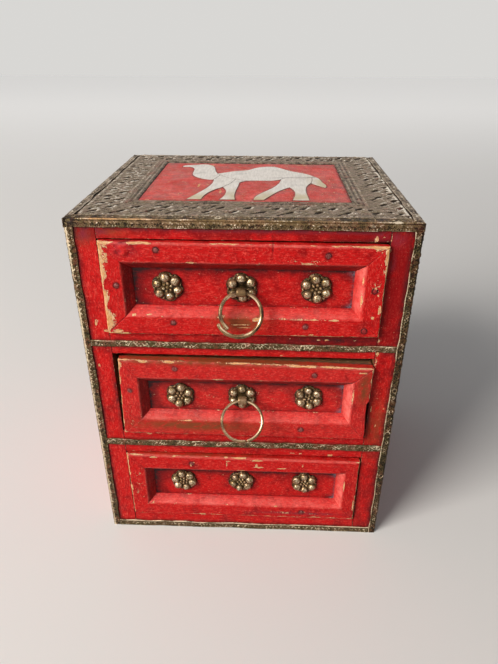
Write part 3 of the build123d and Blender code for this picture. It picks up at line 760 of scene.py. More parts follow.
def strip_pattern(along, across, width, base, seed, flowers=False):
    """Height from about 0 to 1; across is measured from the strip's free edge.

    A leaf is a bell over a stretched distance, slanted one way and the other by turns. A flower is a
    ring, a bell of the distance to a circle, with a dot inside.
    """
    along = along + 0.8 * ripple(base, 12.0, seed + 40)
    middle = 0.54 * width + 0.12 * ripple(base, 9.0, seed + 41)
    over, row = wrapped(along, LEAF_STEP), across - middle
    slant = np.where(np.floor(along / LEAF_STEP + 0.5) % 2 == 0, 1.0, -1.0)
    lengthways, sideways = 0.8 * over + 0.6 * slant * row, 0.8 * row - 0.6 * slant * over
    height = bump(np.hypot(lengthways / 1.05, sideways / 0.38), 1.0)
    if flowers:
        swing = WAVE * np.sin(2 * np.pi * along / WAVE_STEP)
        height = np.maximum(bump(row - swing, 0.30), bump(row + swing, 0.30))
        away = np.hypot(wrapped(along - 4.0, FLOWER_STEP), row)
        flower = np.maximum(bump(away - FLOWER, 0.32), 0.8 * bump(away, 0.25))
        height = np.where(away < 1.6 * FLOWER, flower, height)
    beads = 0.9 * bump(np.hypot(wrapped(along, BEAD_STEP), across - 0.20 * width), 0.32)
    height = highest(height, beads, 0.6 * bump(across - 0.2, 0.16))
    height *= np.clip(0.85 + 0.45 * ripple(base, 7.0, seed), 0.3, 1.15)
    height *= np.clip(0.8 + 0.4 * ripple(base, 2.6, seed + 43), 0.2, 1.1)
    return height - 0.25 * np.clip(ripple(base, 1.4, seed + 42), 0, 1)


def fold(run, leg, radius):
    """A line folded at a right angle: down one leg, round a quarter circle, along the other.

    run is the length along the line. Returns, for each, its distance from the two faces of the
    corner (p, q) and the two parts of the outward direction.
    """
    arc = radius * np.pi / 2
    turn = np.clip((run - (leg - radius)) / radius, 0, np.pi / 2)
    p = np.where(run < leg - radius, leg - run, radius * (1 - np.sin(turn)))
    q = np.where(run > leg - radius + arc, run - arc - leg + 2 * radius, radius * (1 - np.cos(turn)))
    return p, q, -np.sin(turn), -np.cos(turn)


print("strip pattern ready: a leaf each", LEAF_STEP, "mm")

# %% [markdown]
# # Folding and laying a strip
# A folded strip is a flat pattern carried round a corner. For a point of the pattern, `fold` says
# where it lies in the plan of the corner, and the embossed height pushes it outwards from there. On
# the top, the strips are mitred: the length of each line across the strip shrinks with its distance
# from the corner. Hand-cut sheet is never quite straight, so the edges wander and the sheet lifts a
# little here and there.

# %% Strips
STEP = 0.26                           # between the points of a strip's grid
FOLD_RADIUS = 0.7
STRIP_BACK = 0.45                     # how far behind its face a strip's back lies
LEVEL = 0.35                          # the height of the pattern that stays level with the sheet
BACK_RELIEF = {"relief": 0.3}


def lay_strip(name, node, corner, first, second, length, leg, seed, mitred=False, gilt=(0, 0), flowers=False,
              smooth=0.0, shine=(0, 0), wavy=0.22, smear=0.05, finish=STRIP_BRASS, tone=0.10, crest=0.0,
              glints_at=(), reddened_at=(), notched_at=()):
    """A strip folded over a corner line.

    corner: where the line starts. first and second: unit directions of its two legs, away from the
    corner. length: the corner line, as a vector. gilt: the stretch of the fold that is still golden.
    smooth: how wide the band without a pattern is, on the first leg beside the fold. shine: how strong the
    painted highlight along the free edge of each leg is. wavy: how far the free edges wander. smear: how
    much red paint is on it. tone: how bright the brass is as a whole. crest: how bright the line along the
    fold is, rubbed metal with a painted highlight. glints_at, reddened_at and notched_at: places along the
    fold that carry a painted glint, have red paint on the first leg, or are dented, in mm from its start.
    """
    length, first, second = (np.array(v, float) for v in (length, first, second))
    reach = np.linalg.norm(length)
    flat_width = 2 * leg - 2 * FOLD_RADIUS + FOLD_RADIUS * np.pi / 2
    run = np.linspace(0, flat_width, round(flat_width / STEP) + 1)
    share = np.linspace(0, 1, round(reach / STEP) + 1)
    share, run = np.meshgrid(share, run, indexing="ij")
    p, q, out_p, out_q = fold(run, leg, FOLD_RADIUS)
    start = q * mitred
    stop = reach - q * mitred
    along = start + share * (stop - start)
    line = np.array(corner, float) + along[..., None] * length / reach
    out = out_p[..., None] * first + out_q[..., None] * second
    base = line + p[..., None] * first + q[..., None] * second

    free = np.minimum(run, flat_width - run)
    on_second = np.clip((run - flat_width / 2) / FOLD_RADIUS, 0, 1)
    from_fold = flat_width / 2 - run
    band = bump(past(np.abs(from_fold - smooth / 2) - smooth / 2), 0.3) * (smooth > 0)
    pattern = strip_pattern(along, free, leg, base, seed, flowers) * (1 - band)
    near_free = np.clip(1 - free / leg, 0, 1)
    lift = 0.10 * (1 + ripple(base, 26.0, seed + 1)) * near_free ** 2 + 0.22 * on_second * near_free
    wander = (0.22 + (wavy - 0.22) * on_second) * ripple(base, 15.0, seed + 2) * np.clip(1 - free / 1.8, 0, 1)
    tilt = np.where((run < flat_width / 2)[..., None], first, second)
    near_end = bump(np.minimum(along, reach - along), 4.5) * mitred
    notch = np.zeros_like(along)
    for place in notched_at:
        notch = np.maximum(notch, bump(np.hypot(along - place, 1.8 * (from_fold - 1.1)), 1.7))
    dent = 0.14 * np.clip(ripple(base, 6.0, seed + 3) - 0.2, 0, 1)
    dent += 0.45 * near_end * np.clip(0.5 + ripple(base, 4.0, seed + 5), 0, 1)
    dent += 0.4 * notch

    top = base + wander[..., None] * tilt + (EMBOSS * (pattern - LEVEL) + lift - dent)[..., None] * out
    middle = round(run.shape[1] / 2)
    back = (base - STRIP_BACK * out)[:, [0, middle, -1]]
    back[:, [0, -1]] += (lift[..., None] * out * 0.8 + wander[..., None] * tilt)[:, [0, -1]]
    top[..., 2], back[..., 2] = past(top[..., 2]), past(back[..., 2])
    points, faces = sheet(top, back)

    ridge = bump(from_fold, 0.55)
    golden = 0.6 * ridge * np.clip((along - gilt[0]) / 6, 0, 1) * np.clip((gilt[1] - along) / 10, 0, 1)
    golden = np.maximum(golden, 0.14 * band * bump(along - gilt[1] - 36, 38))
    worn = 0.30 * ridge * (1 + ripple(base, 10.0, seed + 4)) + 0.12 * band
    worn += band * (0.30 * bump(from_fold - 1.5, 0.2) - 0.35 * bump(from_fold - 0.95, 0.25))
    # crest: a bright line beside the fold, rubbed metal and a painted highlight where it faces the window.
    worn += crest * bump(from_fold - 0.8, 0.45) * np.clip(1 + 0.35 * ripple(base, 22.0, seed + 11), 0.5, 1.4)
    blotches = 0.22 * ripple(base, 5.0, seed + 7) * on_second - 0.25 * near_end
    relief = tone + 0.95 * pattern + worn - 0.5 * dent + blotches - 2.2 * notch
    # Painted highlights: the free edges of the legs, where they catch the light, and a glint at each place
    # listed along the fold.
    edge_highlight = np.clip(0.95 + 0.5 * ripple(base, 12.0, seed + 8), 0.4, 1.3) * bump(free - 0.25, 0.27)
    relief += edge_highlight * np.where(on_second > 0.5, shine[1], shine[0])
    for place in glints_at:
        relief += 1.2 * bump(np.hypot(along - place, 1.6 * from_fold), 1.7)
    red = smear * np.clip(1 + 2.0 * ripple(base, 9.0, seed + 9), 0, 2)
    for place in reddened_at:
        red += 0.14 * bump(along - place, 9.0) * (from_fold > 0)
    marks = with_back(back, {"relief": relief, "gilt": golden, "paint_smear": red}, BACK_RELIEF)
    return new_piece(name, points, faces, "carcase", finish, [node], marks)


CORNER_LOOKS = {  # by the side the corner is on, for someone who looks at the front, or at the back
    # On the left looks the fold gets a bright line; on the right looks the free edge of the first leg gets a
    # painted highlight.
    "left": dict(shine=(0.1, 0.2), smear=0.1, tone=0.22, crest=1.1),
    "right": dict(shine=(1.0, 0.2), flowers=True, tone=0.02),
}
strip_top = HEIGHT - EDGE_LEG
for y_name, y_side in (("front", -1), ("back", 1)):
    for x_name, x_side in (("left", -1), ("right", 1)):
        lay_strip(f"corner_brass_{y_name}_{x_name}", f"corner_strip_{y_name}_{x_name}",
                  (x_side * X_OUT, y_side * Y_OUT, 0), (-x_side, 0, 0), (0, -y_side, 0), (0, 0, strip_top),
                  CORNER_LEG, seed=31 + 5 * x_side + 9 * y_side, finish=CORNER_BRASS,
                  **CORNER_LOOKS["left" if x_side * y_side > 0 else "right"])
EDGES = {        # where each top corner line starts, its direction, and the way in over the top
    "front": ((-X_OUT, -Y_OUT), (2 * X_OUT, 0), (0, 1)),
    "right": ((X_OUT, -Y_OUT), (0, 2 * Y_OUT), (-1, 0)),
    "back": ((X_OUT, Y_OUT), (-2 * X_OUT, 0), (0, -1)),
    "left": ((-X_OUT, Y_OUT), (0, -2 * Y_OUT), (1, 0)),
}
PLAIN_EDGE = dict(smooth=0.8, wavy=0.45, finish=EDGE_BRASS, tone=0.22, smear=0.0)
EDGE_LOOKS = {
    # Painted glints along the fold: one on the front edge, two on the right.
    "front": dict(smooth=1.7, wavy=0.2, tone=0.20, smear=0.03, gilt=(8, 46), glints_at=(152.5,),
                  reddened_at=(136.0,), notched_at=(3.0,)),
    "right": dict(PLAIN_EDGE, glints_at=(11.2, 60.0)),
    "back": PLAIN_EDGE,
    "left": PLAIN_EDGE,
}
for number, (name, (start, run, inward)) in enumerate(EDGES.items()):
    lay_strip(f"top_edge_brass_{name}", "top_edge_strips", (*start, HEIGHT), (0, 0, -1), (*inward, 0),
              (*run, 0), EDGE_LEG, seed=70 + 6 * number, mitred=True, shine=(0.2, 0.35), **EDGE_LOOKS[name])
print("folded strips laid")

# %% [markdown]
# # Flat strips
# Bands of the same brass cover the front edges of the two dividers and run round the foot, between the
# folded corners. With nothing to fold, a straight grid is enough: one direction along the band, the
# other up it, and the same pattern gives the height.

# %% Flat strips
def lay_flat_strip(name, node, start, run, out, width, seed, flowers=False, tone=0.22, rubbed=0.24):
    """A flat strip: start is one end of its lower edge, run its length, out its normal. It stands upright.

    tone: how bright the brass is. rubbed: how bright its upper edge is.
    """
    run, across, out = (np.array(v, float) for v in (run, (0, 0, 1), out))
    reach = np.linalg.norm(run)
    share, side = np.meshgrid(np.linspace(0, 1, round(reach / STEP) + 1),
                              np.linspace(0, width, round(width / STEP) + 1), indexing="ij")
    base = np.array(start, float) + share[..., None] * run + side[..., None] * across
    pattern = strip_pattern(share * reach, side, width, base, seed, flowers)
    free = np.minimum(side, width - side)
    pattern = np.maximum(pattern, 0.5 * bump(width - 0.35 - side, 0.2))
    lift = 0.10 * (1 + ripple(base, 22.0, seed + 1)) * np.clip(1 - free / 1.5, 0, 1)
    wander = 0.25 * ripple(base, 15.0, seed + 2)
    top = base + (wander * np.clip(1 - free / 1.2, 0, 1))[..., None] * across
    top += (EMBOSS * (pattern - LEVEL) + lift)[..., None] * out
    back = (top - (STRIP_BACK + EMBOSS * (pattern - LEVEL) + lift)[..., None] * out)[:, [0, -1]]
    top[..., 2], back[..., 2] = past(top[..., 2]), past(back[..., 2])
    points, faces = sheet(top, back)
    worn = rubbed * bump(width - side - 0.2, 0.38) * np.clip(1 + 0.8 * ripple(base, 9.0, seed + 3), 0.2, 1.6)
    smear = 0.5 * np.clip(0.25 + ripple(base, 8.0, seed + 4), 0, 1) * flowers
    smear = smear * np.maximum(bump(width - side, 1.0), 0.35)
    marks = with_back(back, {"relief": tone + 0.95 * pattern + worn, "paint_smear": smear}, BACK_RELIEF)
    return new_piece(name, points, faces, "carcase", CORNER_BRASS, [node], marks)


STRIP_IN = 0.05                       # how far a flat strip's sheet is set in from the outer faces
strip_half, depth_half = X_OUT - CORNER_LEG, Y_OUT - CORNER_LEG
x_face, y_face = X_OUT - STRIP_IN, Y_OUT - STRIP_IN
for number, node in enumerate(("upper_divider_strip", "lower_divider_strip")):
    low, high = box_mm(node)
    lay_flat_strip(f"{node}_brass", node, (-strip_half, -y_face, low[2]), (2 * strip_half, 0, 0), (0, -1, 0),
                   high[2] - low[2], seed=110 + 5 * number, flowers=True)
FEET = {"front": ((-strip_half, -y_face), (2 * strip_half, 0), (0, -1)),
        "back": ((strip_half, y_face), (-2 * strip_half, 0), (0, 1)),
        "left": ((-x_face, depth_half), (0, -2 * depth_half), (-1, 0)),
        "right": ((x_face, -depth_half), (0, 2 * depth_half), (1, 0))}
for number, (name, (start, run, out)) in enumerate(FEET.items()):
    lay_flat_strip(f"foot_brass_{name}", "foot_strips", (*start, 0), (*run, 0), (*out, 0), FOOT_LEG,
                   seed=130 + 5 * number, tone=0.34, rubbed=1.0)
print("flat strips laid")

# %% [markdown]
# # The border of the top
# Four mitred sheets make the border. From the painted field outwards they carry two plain ridges, a row
# of beads, a broad vine and more beads. The vine is a wavy stalk between two rows of leaves, with deep
# slanting cuts among them. The pattern is again one height over two lengths. Each sheet is a grid
# between its outer and inner edges, so the lines of the grid shorten inwards and the mitres come out
# straight.

# %% Border
LEAF_PITCH = 13.3
BORDER_STEP = 0.36
RIDGES = (1.6, 4.0)                   # inset of each ridge from the field
RIDGED_WIDTH, RIDGE_RISE = 5.4, 0.38
LEAF_RISE, CUT_DEPTH = 0.45, 0.75
RIB_PITCH, RIB_RISE = 3.1, 0.12
ROW_APART = 3.3                       # from the stalk to the middle of each row of leaves
BORDER_LIMITS = (-0.8, 0.68)          # how deep and how high the embossing may go
UNDER = 0.7                           # how far each sheet reaches under the strip of its edge


def slant_marks(along, across, cut, size, beside=0.0):
    """A row of short strokes, one each pitch; 1 on a stroke.

    cut: the unit direction of a stroke, half its length and its width. A stroke narrows to its ends.
    beside: how far the strokes are moved sideways.
    """
    lean, length, width = cut[:2], size * cut[2], size * cut[3]
    over = wrapped(along, LEAF_PITCH)
    lengthways, sideways = lean[0] * over + lean[1] * across, lean[0] * across - lean[1] * over
    taper = np.clip(1.1 - (lengthways / length) ** 2, 0.1, 1)
    return bump((sideways - beside) / taper, width) * np.clip((length - np.abs(lengthways)) / 0.8, 0, 1)


def border_relief(along, inset, width, centre, shift, cut, lit, curl, bold, seed):
    """Height in mm over the sheet, and the relief its finish sees. inset: distance from the field.

    centre: inset of the middle of the vine. shift: where its first leaf stands. cut: the shape of its
    cuts. lit: which side of a cut gets a painted highlight, the side facing the window. curl: how far its
    outer edge curls up, with a painted highlight along it. bold: how strongly the leaves and cuts stand
    out; it also lightens the sheet a little, painted light for the sheets that the lamps reach less.
    """
    place = np.stack([along, inset, np.zeros_like(along)], -1)
    along = along + 0.5 * ripple(place, 23.0, seed + 7)
    away = inset - centre + 0.35 * ripple(place, 17.0, seed + 8)
    stalk = 0.8 * bump(away - 1.9 * np.sin(2 * np.pi * (along - shift) / LEAF_PITCH), 0.5)
    leaves, cuts, glints = np.zeros_like(along), np.zeros_like(along), np.zeros_like(along)
    scattered = np.clip(0.4 + 1.2 * ripple(place, 15.0, seed + 12), 0, 1)
    for side, start in ((-1, shift), (1, shift + LEAF_PITCH / 2)):
        row = away - side * ROW_APART
        for beside, size in ((2.9, 1.0), (-2.7, 0.8), (6.4, 0.6)):
            over = wrapped(along - start - beside, LEAF_PITCH)
            leaf = bump(np.hypot((over + row) / 2.9, (over - row) / 1.5) / size, 1.0)
            leaves = np.maximum(leaves, size * leaf)
        cuts = np.maximum(cuts, slant_marks(along - start, row, cut, 1.0))
        for further, higher in ((-5.2, 0.9), (3.6, -2.6)):
            small = slant_marks(along - start + further, row + side * higher, cut, 0.7)
            cuts = np.maximum(cuts, 0.5 * bold * scattered * small)
        # Glints: painted highlights on the edge of each cut that faces the window.
        glints = np.maximum(glints, slant_marks(along - start, row, cut, 0.8, beside=1.7 * lit))
        glints = np.maximum(glints, 0.6 * scattered * slant_marks(along - start - 6.0, row, cut, 0.6))
    edging = bump(np.hypot(wrapped(along, 2.2), inset - RIDGED_WIDTH - 1.3), 0.6)
    edging = np.maximum(edging, bump(np.hypot(wrapped(along, 2.6), inset - width + 2.0), 0.75))
    ribs = cut[0] * away - cut[1] * along + 0.5 * ripple(place, 9.0, seed + 13)
    ribs = np.cos(2 * np.pi * ribs / RIB_PITCH) * bump(past(np.abs(away) - 7.5), 1.5)
    height = LEAF_RISE * highest(stalk, leaves, 0.8 * edging) + RIB_RISE * ribs
    height *= np.clip(0.85 + 0.4 * ripple(place, 8.0, seed), 0.4, 1.1)
    cuts *= np.clip(0.95 + 0.4 * ripple(place, 11.0, seed + 1), 0.5, 1)
    pits = np.clip(ripple(place, 2.6, seed + 2), 0, 1)
    height -= CUT_DEPTH * cuts + 0.16 * pits
    # Relief carries the painted glints too, and bold lifts the whole tone a little: painted light for the
    # sheets that the lamps reach less.
    glints *= np.clip(0.8 + 0.7 * ripple(place, 13.0, seed + 14), 0.1, 1.3)
    relief = 0.28 + 0.12 * bold + bold * (0.42 * height / LEAF_RISE + 0.45 * glints) - 2.2 * cuts
    rim = past(width - inset)
    height -= 0.35 * bump(rim, 0.7)
    # Painted shade in the gap where the sheet runs under the edge strip.
    relief -= 1.0 * bump(rim, 0.45)
    # The outer edge curls up and is painted bright along it: a painted highlight.
    curled = curl * bump(width - inset - 1.4, 0.5)
    curled *= np.clip(0.7 + 0.8 * ripple(place, 11.0, seed + 10), 0, 1.3)
    height += 0.4 * curled
    relief += 1.0 * curled

    ridged = np.zeros_like(height)
    for middle in RIDGES:
        ridged = np.maximum(ridged, bump(inset - middle, 0.7))
    ridged *= np.clip(0.8 + 0.3 * ripple(place, 14.0, seed + 5), 0.45, 1)
    on_ridges = inset < RIDGED_WIDTH
    ridge_relief = 0.12 + 0.50 * ridged + 0.15 * ripple(place, 5.0, seed + 6)
    return np.where(on_ridges, RIDGE_RISE * ridged, height), np.where(on_ridges, ridge_relief, relief)


def border_sheet(name, outer, inner, width, seed, **pattern):
    """One mitred sheet. outer and inner: its two long edges, each as two corners (x, y)."""
    outer, inner = np.array(outer, float), np.array(inner, float)
    count = round(np.linalg.norm(outer[1] - outer[0]) / BORDER_STEP)
    share, side = np.meshgrid(np.linspace(0, 1, count + 1), np.linspace(0, 1, round(width / BORDER_STEP) + 1),
                              indexing="ij")
    share, side = share[..., None], side[..., None]
    edge_out = outer[0] + share * (outer[1] - outer[0])
    edge_in = inner[0] + share * (inner[1] - inner[0])
    flat = edge_out + side * (edge_in - edge_out)
    direction = (outer[1] - outer[0]) / np.linalg.norm(outer[1] - outer[0])
    along = flat @ direction
    height, relief = border_relief(along, width * (1 - side[..., 0]), width - UNDER, seed=seed, **pattern)
    place = np.concatenate([flat, np.zeros_like(share)], -1)
    bulge = 0.10 * ripple(place, 24.0, seed + 3)
    top = np.concatenate([flat, (HEIGHT + np.clip(height + bulge, *BORDER_LIMITS))[..., None]], -1)
    back = top[:, [0, -1]].copy()
    back[..., 2] = HEIGHT - SHEET - TOP_SUNK
    points, faces = sheet(top, back)
    smear = np.clip(ripple(place, 12.0, seed + 4), 0, 1) * bump(width * (1 - side[..., 0]) - 4.6, 2.4)
    smear = 0.3 * np.maximum(smear, np.clip(ripple(place, 5.0, seed + 9) - 0.9, 0, 1))
    marks = with_back(back, {"relief": relief, "paint_smear": smear}, BACK_RELIEF)
    return new_piece(f"border_sheet_{name}", points, faces, "carcase", BORDER_BRASS,
                     [f"top_border_{name}"], marks)


x_b, y_b = X_OUT - EDGE_LEG + UNDER, Y_OUT - EDGE_LEG + UNDER
outer_corners, inner_corners = rectangle(-x_b, x_b, -y_b, y_b), rectangle(*PANEL_X, *PANEL_Y)
WIDTHS = (y_b + PANEL_Y[0], x_b - PANEL_X[1], y_b - PANEL_Y[1], x_b + PANEL_X[0])
LONG_CUT, SIDE_CUT = (0.70, -0.71, 3.2, 0.78), (0.64, 0.77, 2.7, 0.74)
BORDER_LOOKS = {
    "front": dict(centre=15.0, shift=2.0, cut=LONG_CUT, lit=1, curl=0.15, bold=1.0),
    "right": dict(centre=18.0, shift=7.7, cut=SIDE_CUT, lit=1, curl=1.0, bold=1.45),
    "back": dict(centre=15.2, shift=2.0, cut=LONG_CUT, lit=-1, curl=0.2, bold=1.35),
    "left": dict(centre=14.0, shift=1.3, cut=SIDE_CUT, lit=-1, curl=0.1, bold=1.6),
}
for i, (name, looks) in enumerate(BORDER_LOOKS.items()):
    ends = [i, (i + 1) % 4]
    border_sheet(name, outer_corners[ends], inner_corners[ends], WIDTHS[i], seed=160 + 7 * i, **looks)
print("border sheets: widths", [round(w, 1) for w in WIDTHS], "mm")

# %% [markdown]
# # Drawer fronts
# Each drawer front is a flat board with a bevelled moulding nailed round it, mitred at the corners. The
# fronts are cut by hand: no two sides are quite parallel, so each moulding is stretched between its
# own two mitres. The section is two short lists, how far in and how far back, worked out from two small
# round-overs. The outer edge follows the drawer's real outline, and the inner edge its panel.

# %% Sizes of the drawer fronts
MOULDING_BEVEL, MOULDING_DEPTH, FRONT_BOARD = 4.4, 4.5, 8.0
DRAWERS = {      # corners: lower left, lower right, upper right, upper left, as (x, z) in mm
    "top": dict(proud=2.5, corners=[(-67.7, 140.9), (67.7, 141.6), (67.7, 189.0), (-67.1, 189.6)],
                flat=(-57.4, 57.9, 151.2, 179.6), rosettes=[(-36.4, 165.7), (-0.3, 165.7), (35.7, 166.0)],
                bow=0.0),
    "middle": dict(proud=3.3, corners=[(-66.3, 77.8), (67.4, 77.3), (67.6, 123.6), (-64.6, 126.1)],
                   flat=(-55.4, 58.2, 87.7, 114.8), rosettes=[(-34.0, 101.8), (-0.4, 101.8), (35.5, 102.0)],
                   bow=0.55),
    "bottom": dict(proud=1.5, corners=[(-67.4, 12.7), (67.5, 12.7), (67.3, 58.8), (-67.6, 60.3)],
                   flat=(-57.9, 59.4, 21.4, 49.9), rosettes=[(-35.8, 37.6), (-1.2, 38.0), (36.6, 38.0)],
                   bow=0.0),
}
BRADS = {        # x, z of the iron brads that hold each moulding
    "top": [(-39.8, 185.9), (39.8, 184.2), (-34.1, 148.0), (31.3, 147.1), (-60.4, 167.6), (63.0, 166.9),
            (60.1, 145.2)],
    "middle": [(-35.1, 121.2), (37.4, 119.1), (-60.2, 106.7), (31.9, 83.2)],
    "bottom": [(-29.8, 54.6), (35.5, 17.4)],
}
PAINTED_BEYOND = 50.0                 # the brads further right than this were painted over
SIDES = ("bottom", "right", "top", "left")
OPEN_MITRES = {("top", 0), ("middle", 2)}      # the corners, counted from the lower left, where a mitre gapes


# %% [markdown]
# # Where each front is worn
# Rubbing follows use: the upper edges, the corners, and under the pulls. Along each edge the bare band
# is a width in mm at a few places, and numpy interpolates between them. Single chips and scratches are
# ellipses. Both only raise the `wear` number, and the paint finish decides what that looks like. Other
# ellipses say where the paint is browned, flecked or scuffed, has been mended, or has cracked.

# %% Wear of the drawer fronts
BANDS = {        # (drawer, side): width of the bare band at shares of the side, from the left or from below
    ("top", "left"): [(0, 2.6), (0.1, 2.8), (0.2, 2.3), (0.3, 2.0), (0.45, 1.9), (0.6, 2.0), (0.75, 2.2),
                      (1, 2.5)],
    ("top", "top"): [(0, 1.8), (0.025, 1.1), (0.045, 0.4), (0.06, 0.1), (0.10, 0.1), (0.12, 0.5),
                     (0.17, 0.4), (0.19, 0.12), (0.38, 0.12), (0.4, 0.3), (0.46, 0.3), (0.5, 0.10),
                     (0.7, 0.15), (0.8, 0.22), (0.9, 0.5), (0.96, 1.0), (1, 1.2)],
    ("top", "right"): [(0, 0.5), (0.3, 0.45), (0.55, 0.45), (0.65, 0.5), (0.75, 1.4), (0.9, 1.9), (1, 2.1)],
    ("top", "bottom"): [(0, 1.6), (0.1, 0.3), (0.4, 0.45), (0.6, 0.6), (0.9, 0.5), (1, 0.4)],
    ("middle", "top"): [(0, 0.5), (0.04, 0.15), (0.5, 0.2), (0.75, 0.3), (1, 0.34)],
    ("middle", "left"): [(0, 0.7), (0.04, 0.45), (0.6, 0.45), (0.8, 0.6), (0.93, 1.1), (1, 1.9)],
    ("middle", "right"): [(0, 0.1), (0.5, 0.1), (0.6, 0.4), (1, 0.8)],
    ("middle", "bottom"): [(0, 0.5), (0.3, 0.35), (1, 0.3)],
    ("bottom", "top"): [(0, 0.5), (0.05, 0.3), (0.09, 0.1), (0.6, 0.12), (0.9, 0.1), (0.98, 0.12), (1, 0.35)],
    ("bottom", "left"): [(0, 0.4), (0.1, 0.8), (0.25, 0.3), (0.45, 0.6), (0.6, 0.3), (0.78, 0.9), (1, 1.3)],
    ("bottom", "right"): [(0, 0.8), (0.5, 0.5), (1, 0.8)],
    ("bottom", "bottom"): [(0, 0.4), (0.5, 0.5), (1, 0.7)],
}
FRONT_MARKS = {  # patches: x, z, half width, half height. mended: a lump in the paint
    "top": dict(
        chipped=[
            (-62.5, 143.0, 2.2, 0.8), (-58.5, 141.6, 1.6, 0.5), (-49.0, 189.2, 3.6, 0.5),
            (-43.6, 189.0, 1.8, 0.35), (-64.4, 189.4, 2.0, 0.6), (-10.6, 151.3, 1.8, 0.6),
            (-3.0, 151.2, 2.6, 0.3), (-1.5, 147.6, 4.2, 0.3), (0.8, 146.0, 3.0, 0.3),
            (6.8, 150.4, 1.8, 0.9), (-53.6, 151.7, 0.9, 0.6), (-46.0, 152.0, 1.2, 0.35),
            (56.9, 172.0, 0.5, 2.6), (57.2, 161.0, 0.4, 3.0), (61.6, 187.2, 0.4, 1.0),
            (63.3, 152.8, 0.8, 0.6), (64.8, 164.6, 0.5, 0.6), (63.2, 168.0, 0.5, 0.5),
            (66.4, 157.0, 0.7, 2.4), (-66.0, 148.0, 2.6, 4.0), (30.0, 180.2, 3.0, 0.3),
            (31.0, 151.1, 16.0, 0.3), (-24.0, 180.0, 2.0, 0.25), (45.0, 150.8, 2.4, 0.3),
            (34.0, 142.6, 1.2, 0.3)],
        browned=[(-1.0, 148.4, 9.0, 3.4), (-11.0, 151.0, 3.0, 1.2), (7.0, 150.4, 3.0, 1.8)],
        flecked=[(63.5, 173.0, 3.2, 10.0), (30.0, 181.6, 20.0, 1.0)],
        scuffed=[(-54.8, 186.3, 4.4, 3.2)],
        mended=[(-54.6, 186.2, 4.0, 3.2)],
        cracked=[(14.3, 187.0, 0.25, 3.4)]),
    "middle": dict(
        chipped=[
            (-51.3, 125.2, 2.2, 0.7), (-38.3, 125.3, 3.0, 0.7), (-1.0, 125.2, 6.0, 0.4),
            (29.0, 124.2, 7.0, 0.35), (-64.6, 123.5, 0.9, 2.2), (-65.0, 78.1, 1.0, 0.8),
            (-58.8, 78.1, 1.4, 0.5), (-47.5, 78.0, 1.2, 0.4), (58.4, 106.0, 0.35, 5.0),
            (62.0, 121.0, 2.6, 0.4), (-30.0, 87.5, 5.0, 0.25), (-13.0, 115.2, 3.0, 0.25)],
        browned=[(0.0, 125.6, 70.0, 1.6), (-26.0, 84.2, 27.0, 2.8), (64.0, 111.0, 2.4, 7.0)],
        flecked=[(-60.0, 90.0, 4.0, 12.0)]),
    "bottom": dict(
        chipped=[
            (-52.0, 58.6, 2.2, 0.6), (-66.7, 32.8, 0.5, 0.7), (-9.7, 59.6, 0.8, 0.4),
            (-2.0, 59.4, 4.0, 0.45), (7.6, 58.2, 3.0, 0.6), (9.0, 53.0, 2.4, 0.5), (8.0, 54.6, 0.5, 1.6),
            (-30.4, 53.6, 0.35, 1.5), (-29.0, 55.4, 1.2, 0.3), (-9.4, 54.6, 0.3, 1.9),
            (-8.2, 57.0, 0.9, 0.3), (34.6, 55.0, 0.3, 1.4), (22.0, 52.6, 3.0, 0.25),
            (-24.9, 13.6, 1.6, 0.35), (-18.7, 13.4, 1.2, 0.3), (-55.0, 22.0, 0.4, 0.4),
            (66.3, 25.0, 0.4, 5.0), (-1.0, 50.1, 4.0, 0.25), (59.7, 40.0, 0.3, 4.0),
            (20.0, 21.6, 1.0, 0.3), (-40.0, 59.4, 1.0, 0.3)],
        browned=[(0.0, 60.2, 40.0, 0.5)],
        flecked=[(30.0, 16.5, 30.0, 1.6), (-62.0, 40.0, 4.0, 14.0)],
        scuffed=[(36.0, 16.5, 20.0, 0.8)]),
}
BITES = {("middle", "right"): (103.0, 1.2)}      # where an edge has broken away: below which height, how far
# Per drawer: a painted sheen on the lower bevel, and a faded tone all over.
SHEEN_AND_FADE = {"top": (0.42, 0.0), "middle": (0.42, 0.08), "bottom": (0.62, 0.0)}      # lower bevel, and all over


def front_spots(drawer, mark, points):
    """How strongly one kind of patch marks each point of a drawer's front."""
    return spots(points, FRONT_MARKS[drawer].get(mark, ()))


def band_wear(drawer, side, share, inward):
    """0.5 where the distance in from the edge equals the band's width there, more nearer the edge."""
    places, widths = np.array(BANDS[drawer, side]).T
    return np.clip(1 - 0.5 * inward / np.interp(share, places, widths), 0, 1)


print("wear:", sum(len(marks["chipped"]) for marks in FRONT_MARKS.values()), "chips")

# %% [markdown]
# # The mouldings of the drawer fronts
# Four mouldings frame each front: flat in front, rounded outside, sloping down to the board inside, and
# mitred where they meet. A box with a bevel modifier comes close, but the paint has to know how far each
# point is from the edge. So a moulding is a section carried along its side.

# %% Mouldings
MOULDING_STEP = 0.45                  # between the points of a moulding's grid
OUTER_ROUND, INNER_ROUND = 0.7, 0.35


def moulding_section(width):
    """Points across a moulding: how far in from the outer edge, and how far back from the face.

    Up the outer side, round a quarter circle, over the flat, round a smaller turn, down the bevel.
    """
    side = np.linspace(MOULDING_DEPTH, OUTER_ROUND, 6)[:-1]
    turn = np.linspace(0, np.pi / 2, 6)
    flat = np.linspace(OUTER_ROUND, width - INNER_ROUND, round(width / MOULDING_STEP))[1:]
    slope = np.linspace(INNER_ROUND, MOULDING_BEVEL, round(MOULDING_BEVEL / MOULDING_STEP))
    inward = [0 * side, OUTER_ROUND * (1 - np.cos(turn)), flat, width + slope]
    depth = [side, OUTER_ROUND * (1 - np.sin(turn)), 0 * flat, slope * MOULDING_DEPTH / MOULDING_BEVEL]
    return np.concatenate(inward), np.concatenate(depth)


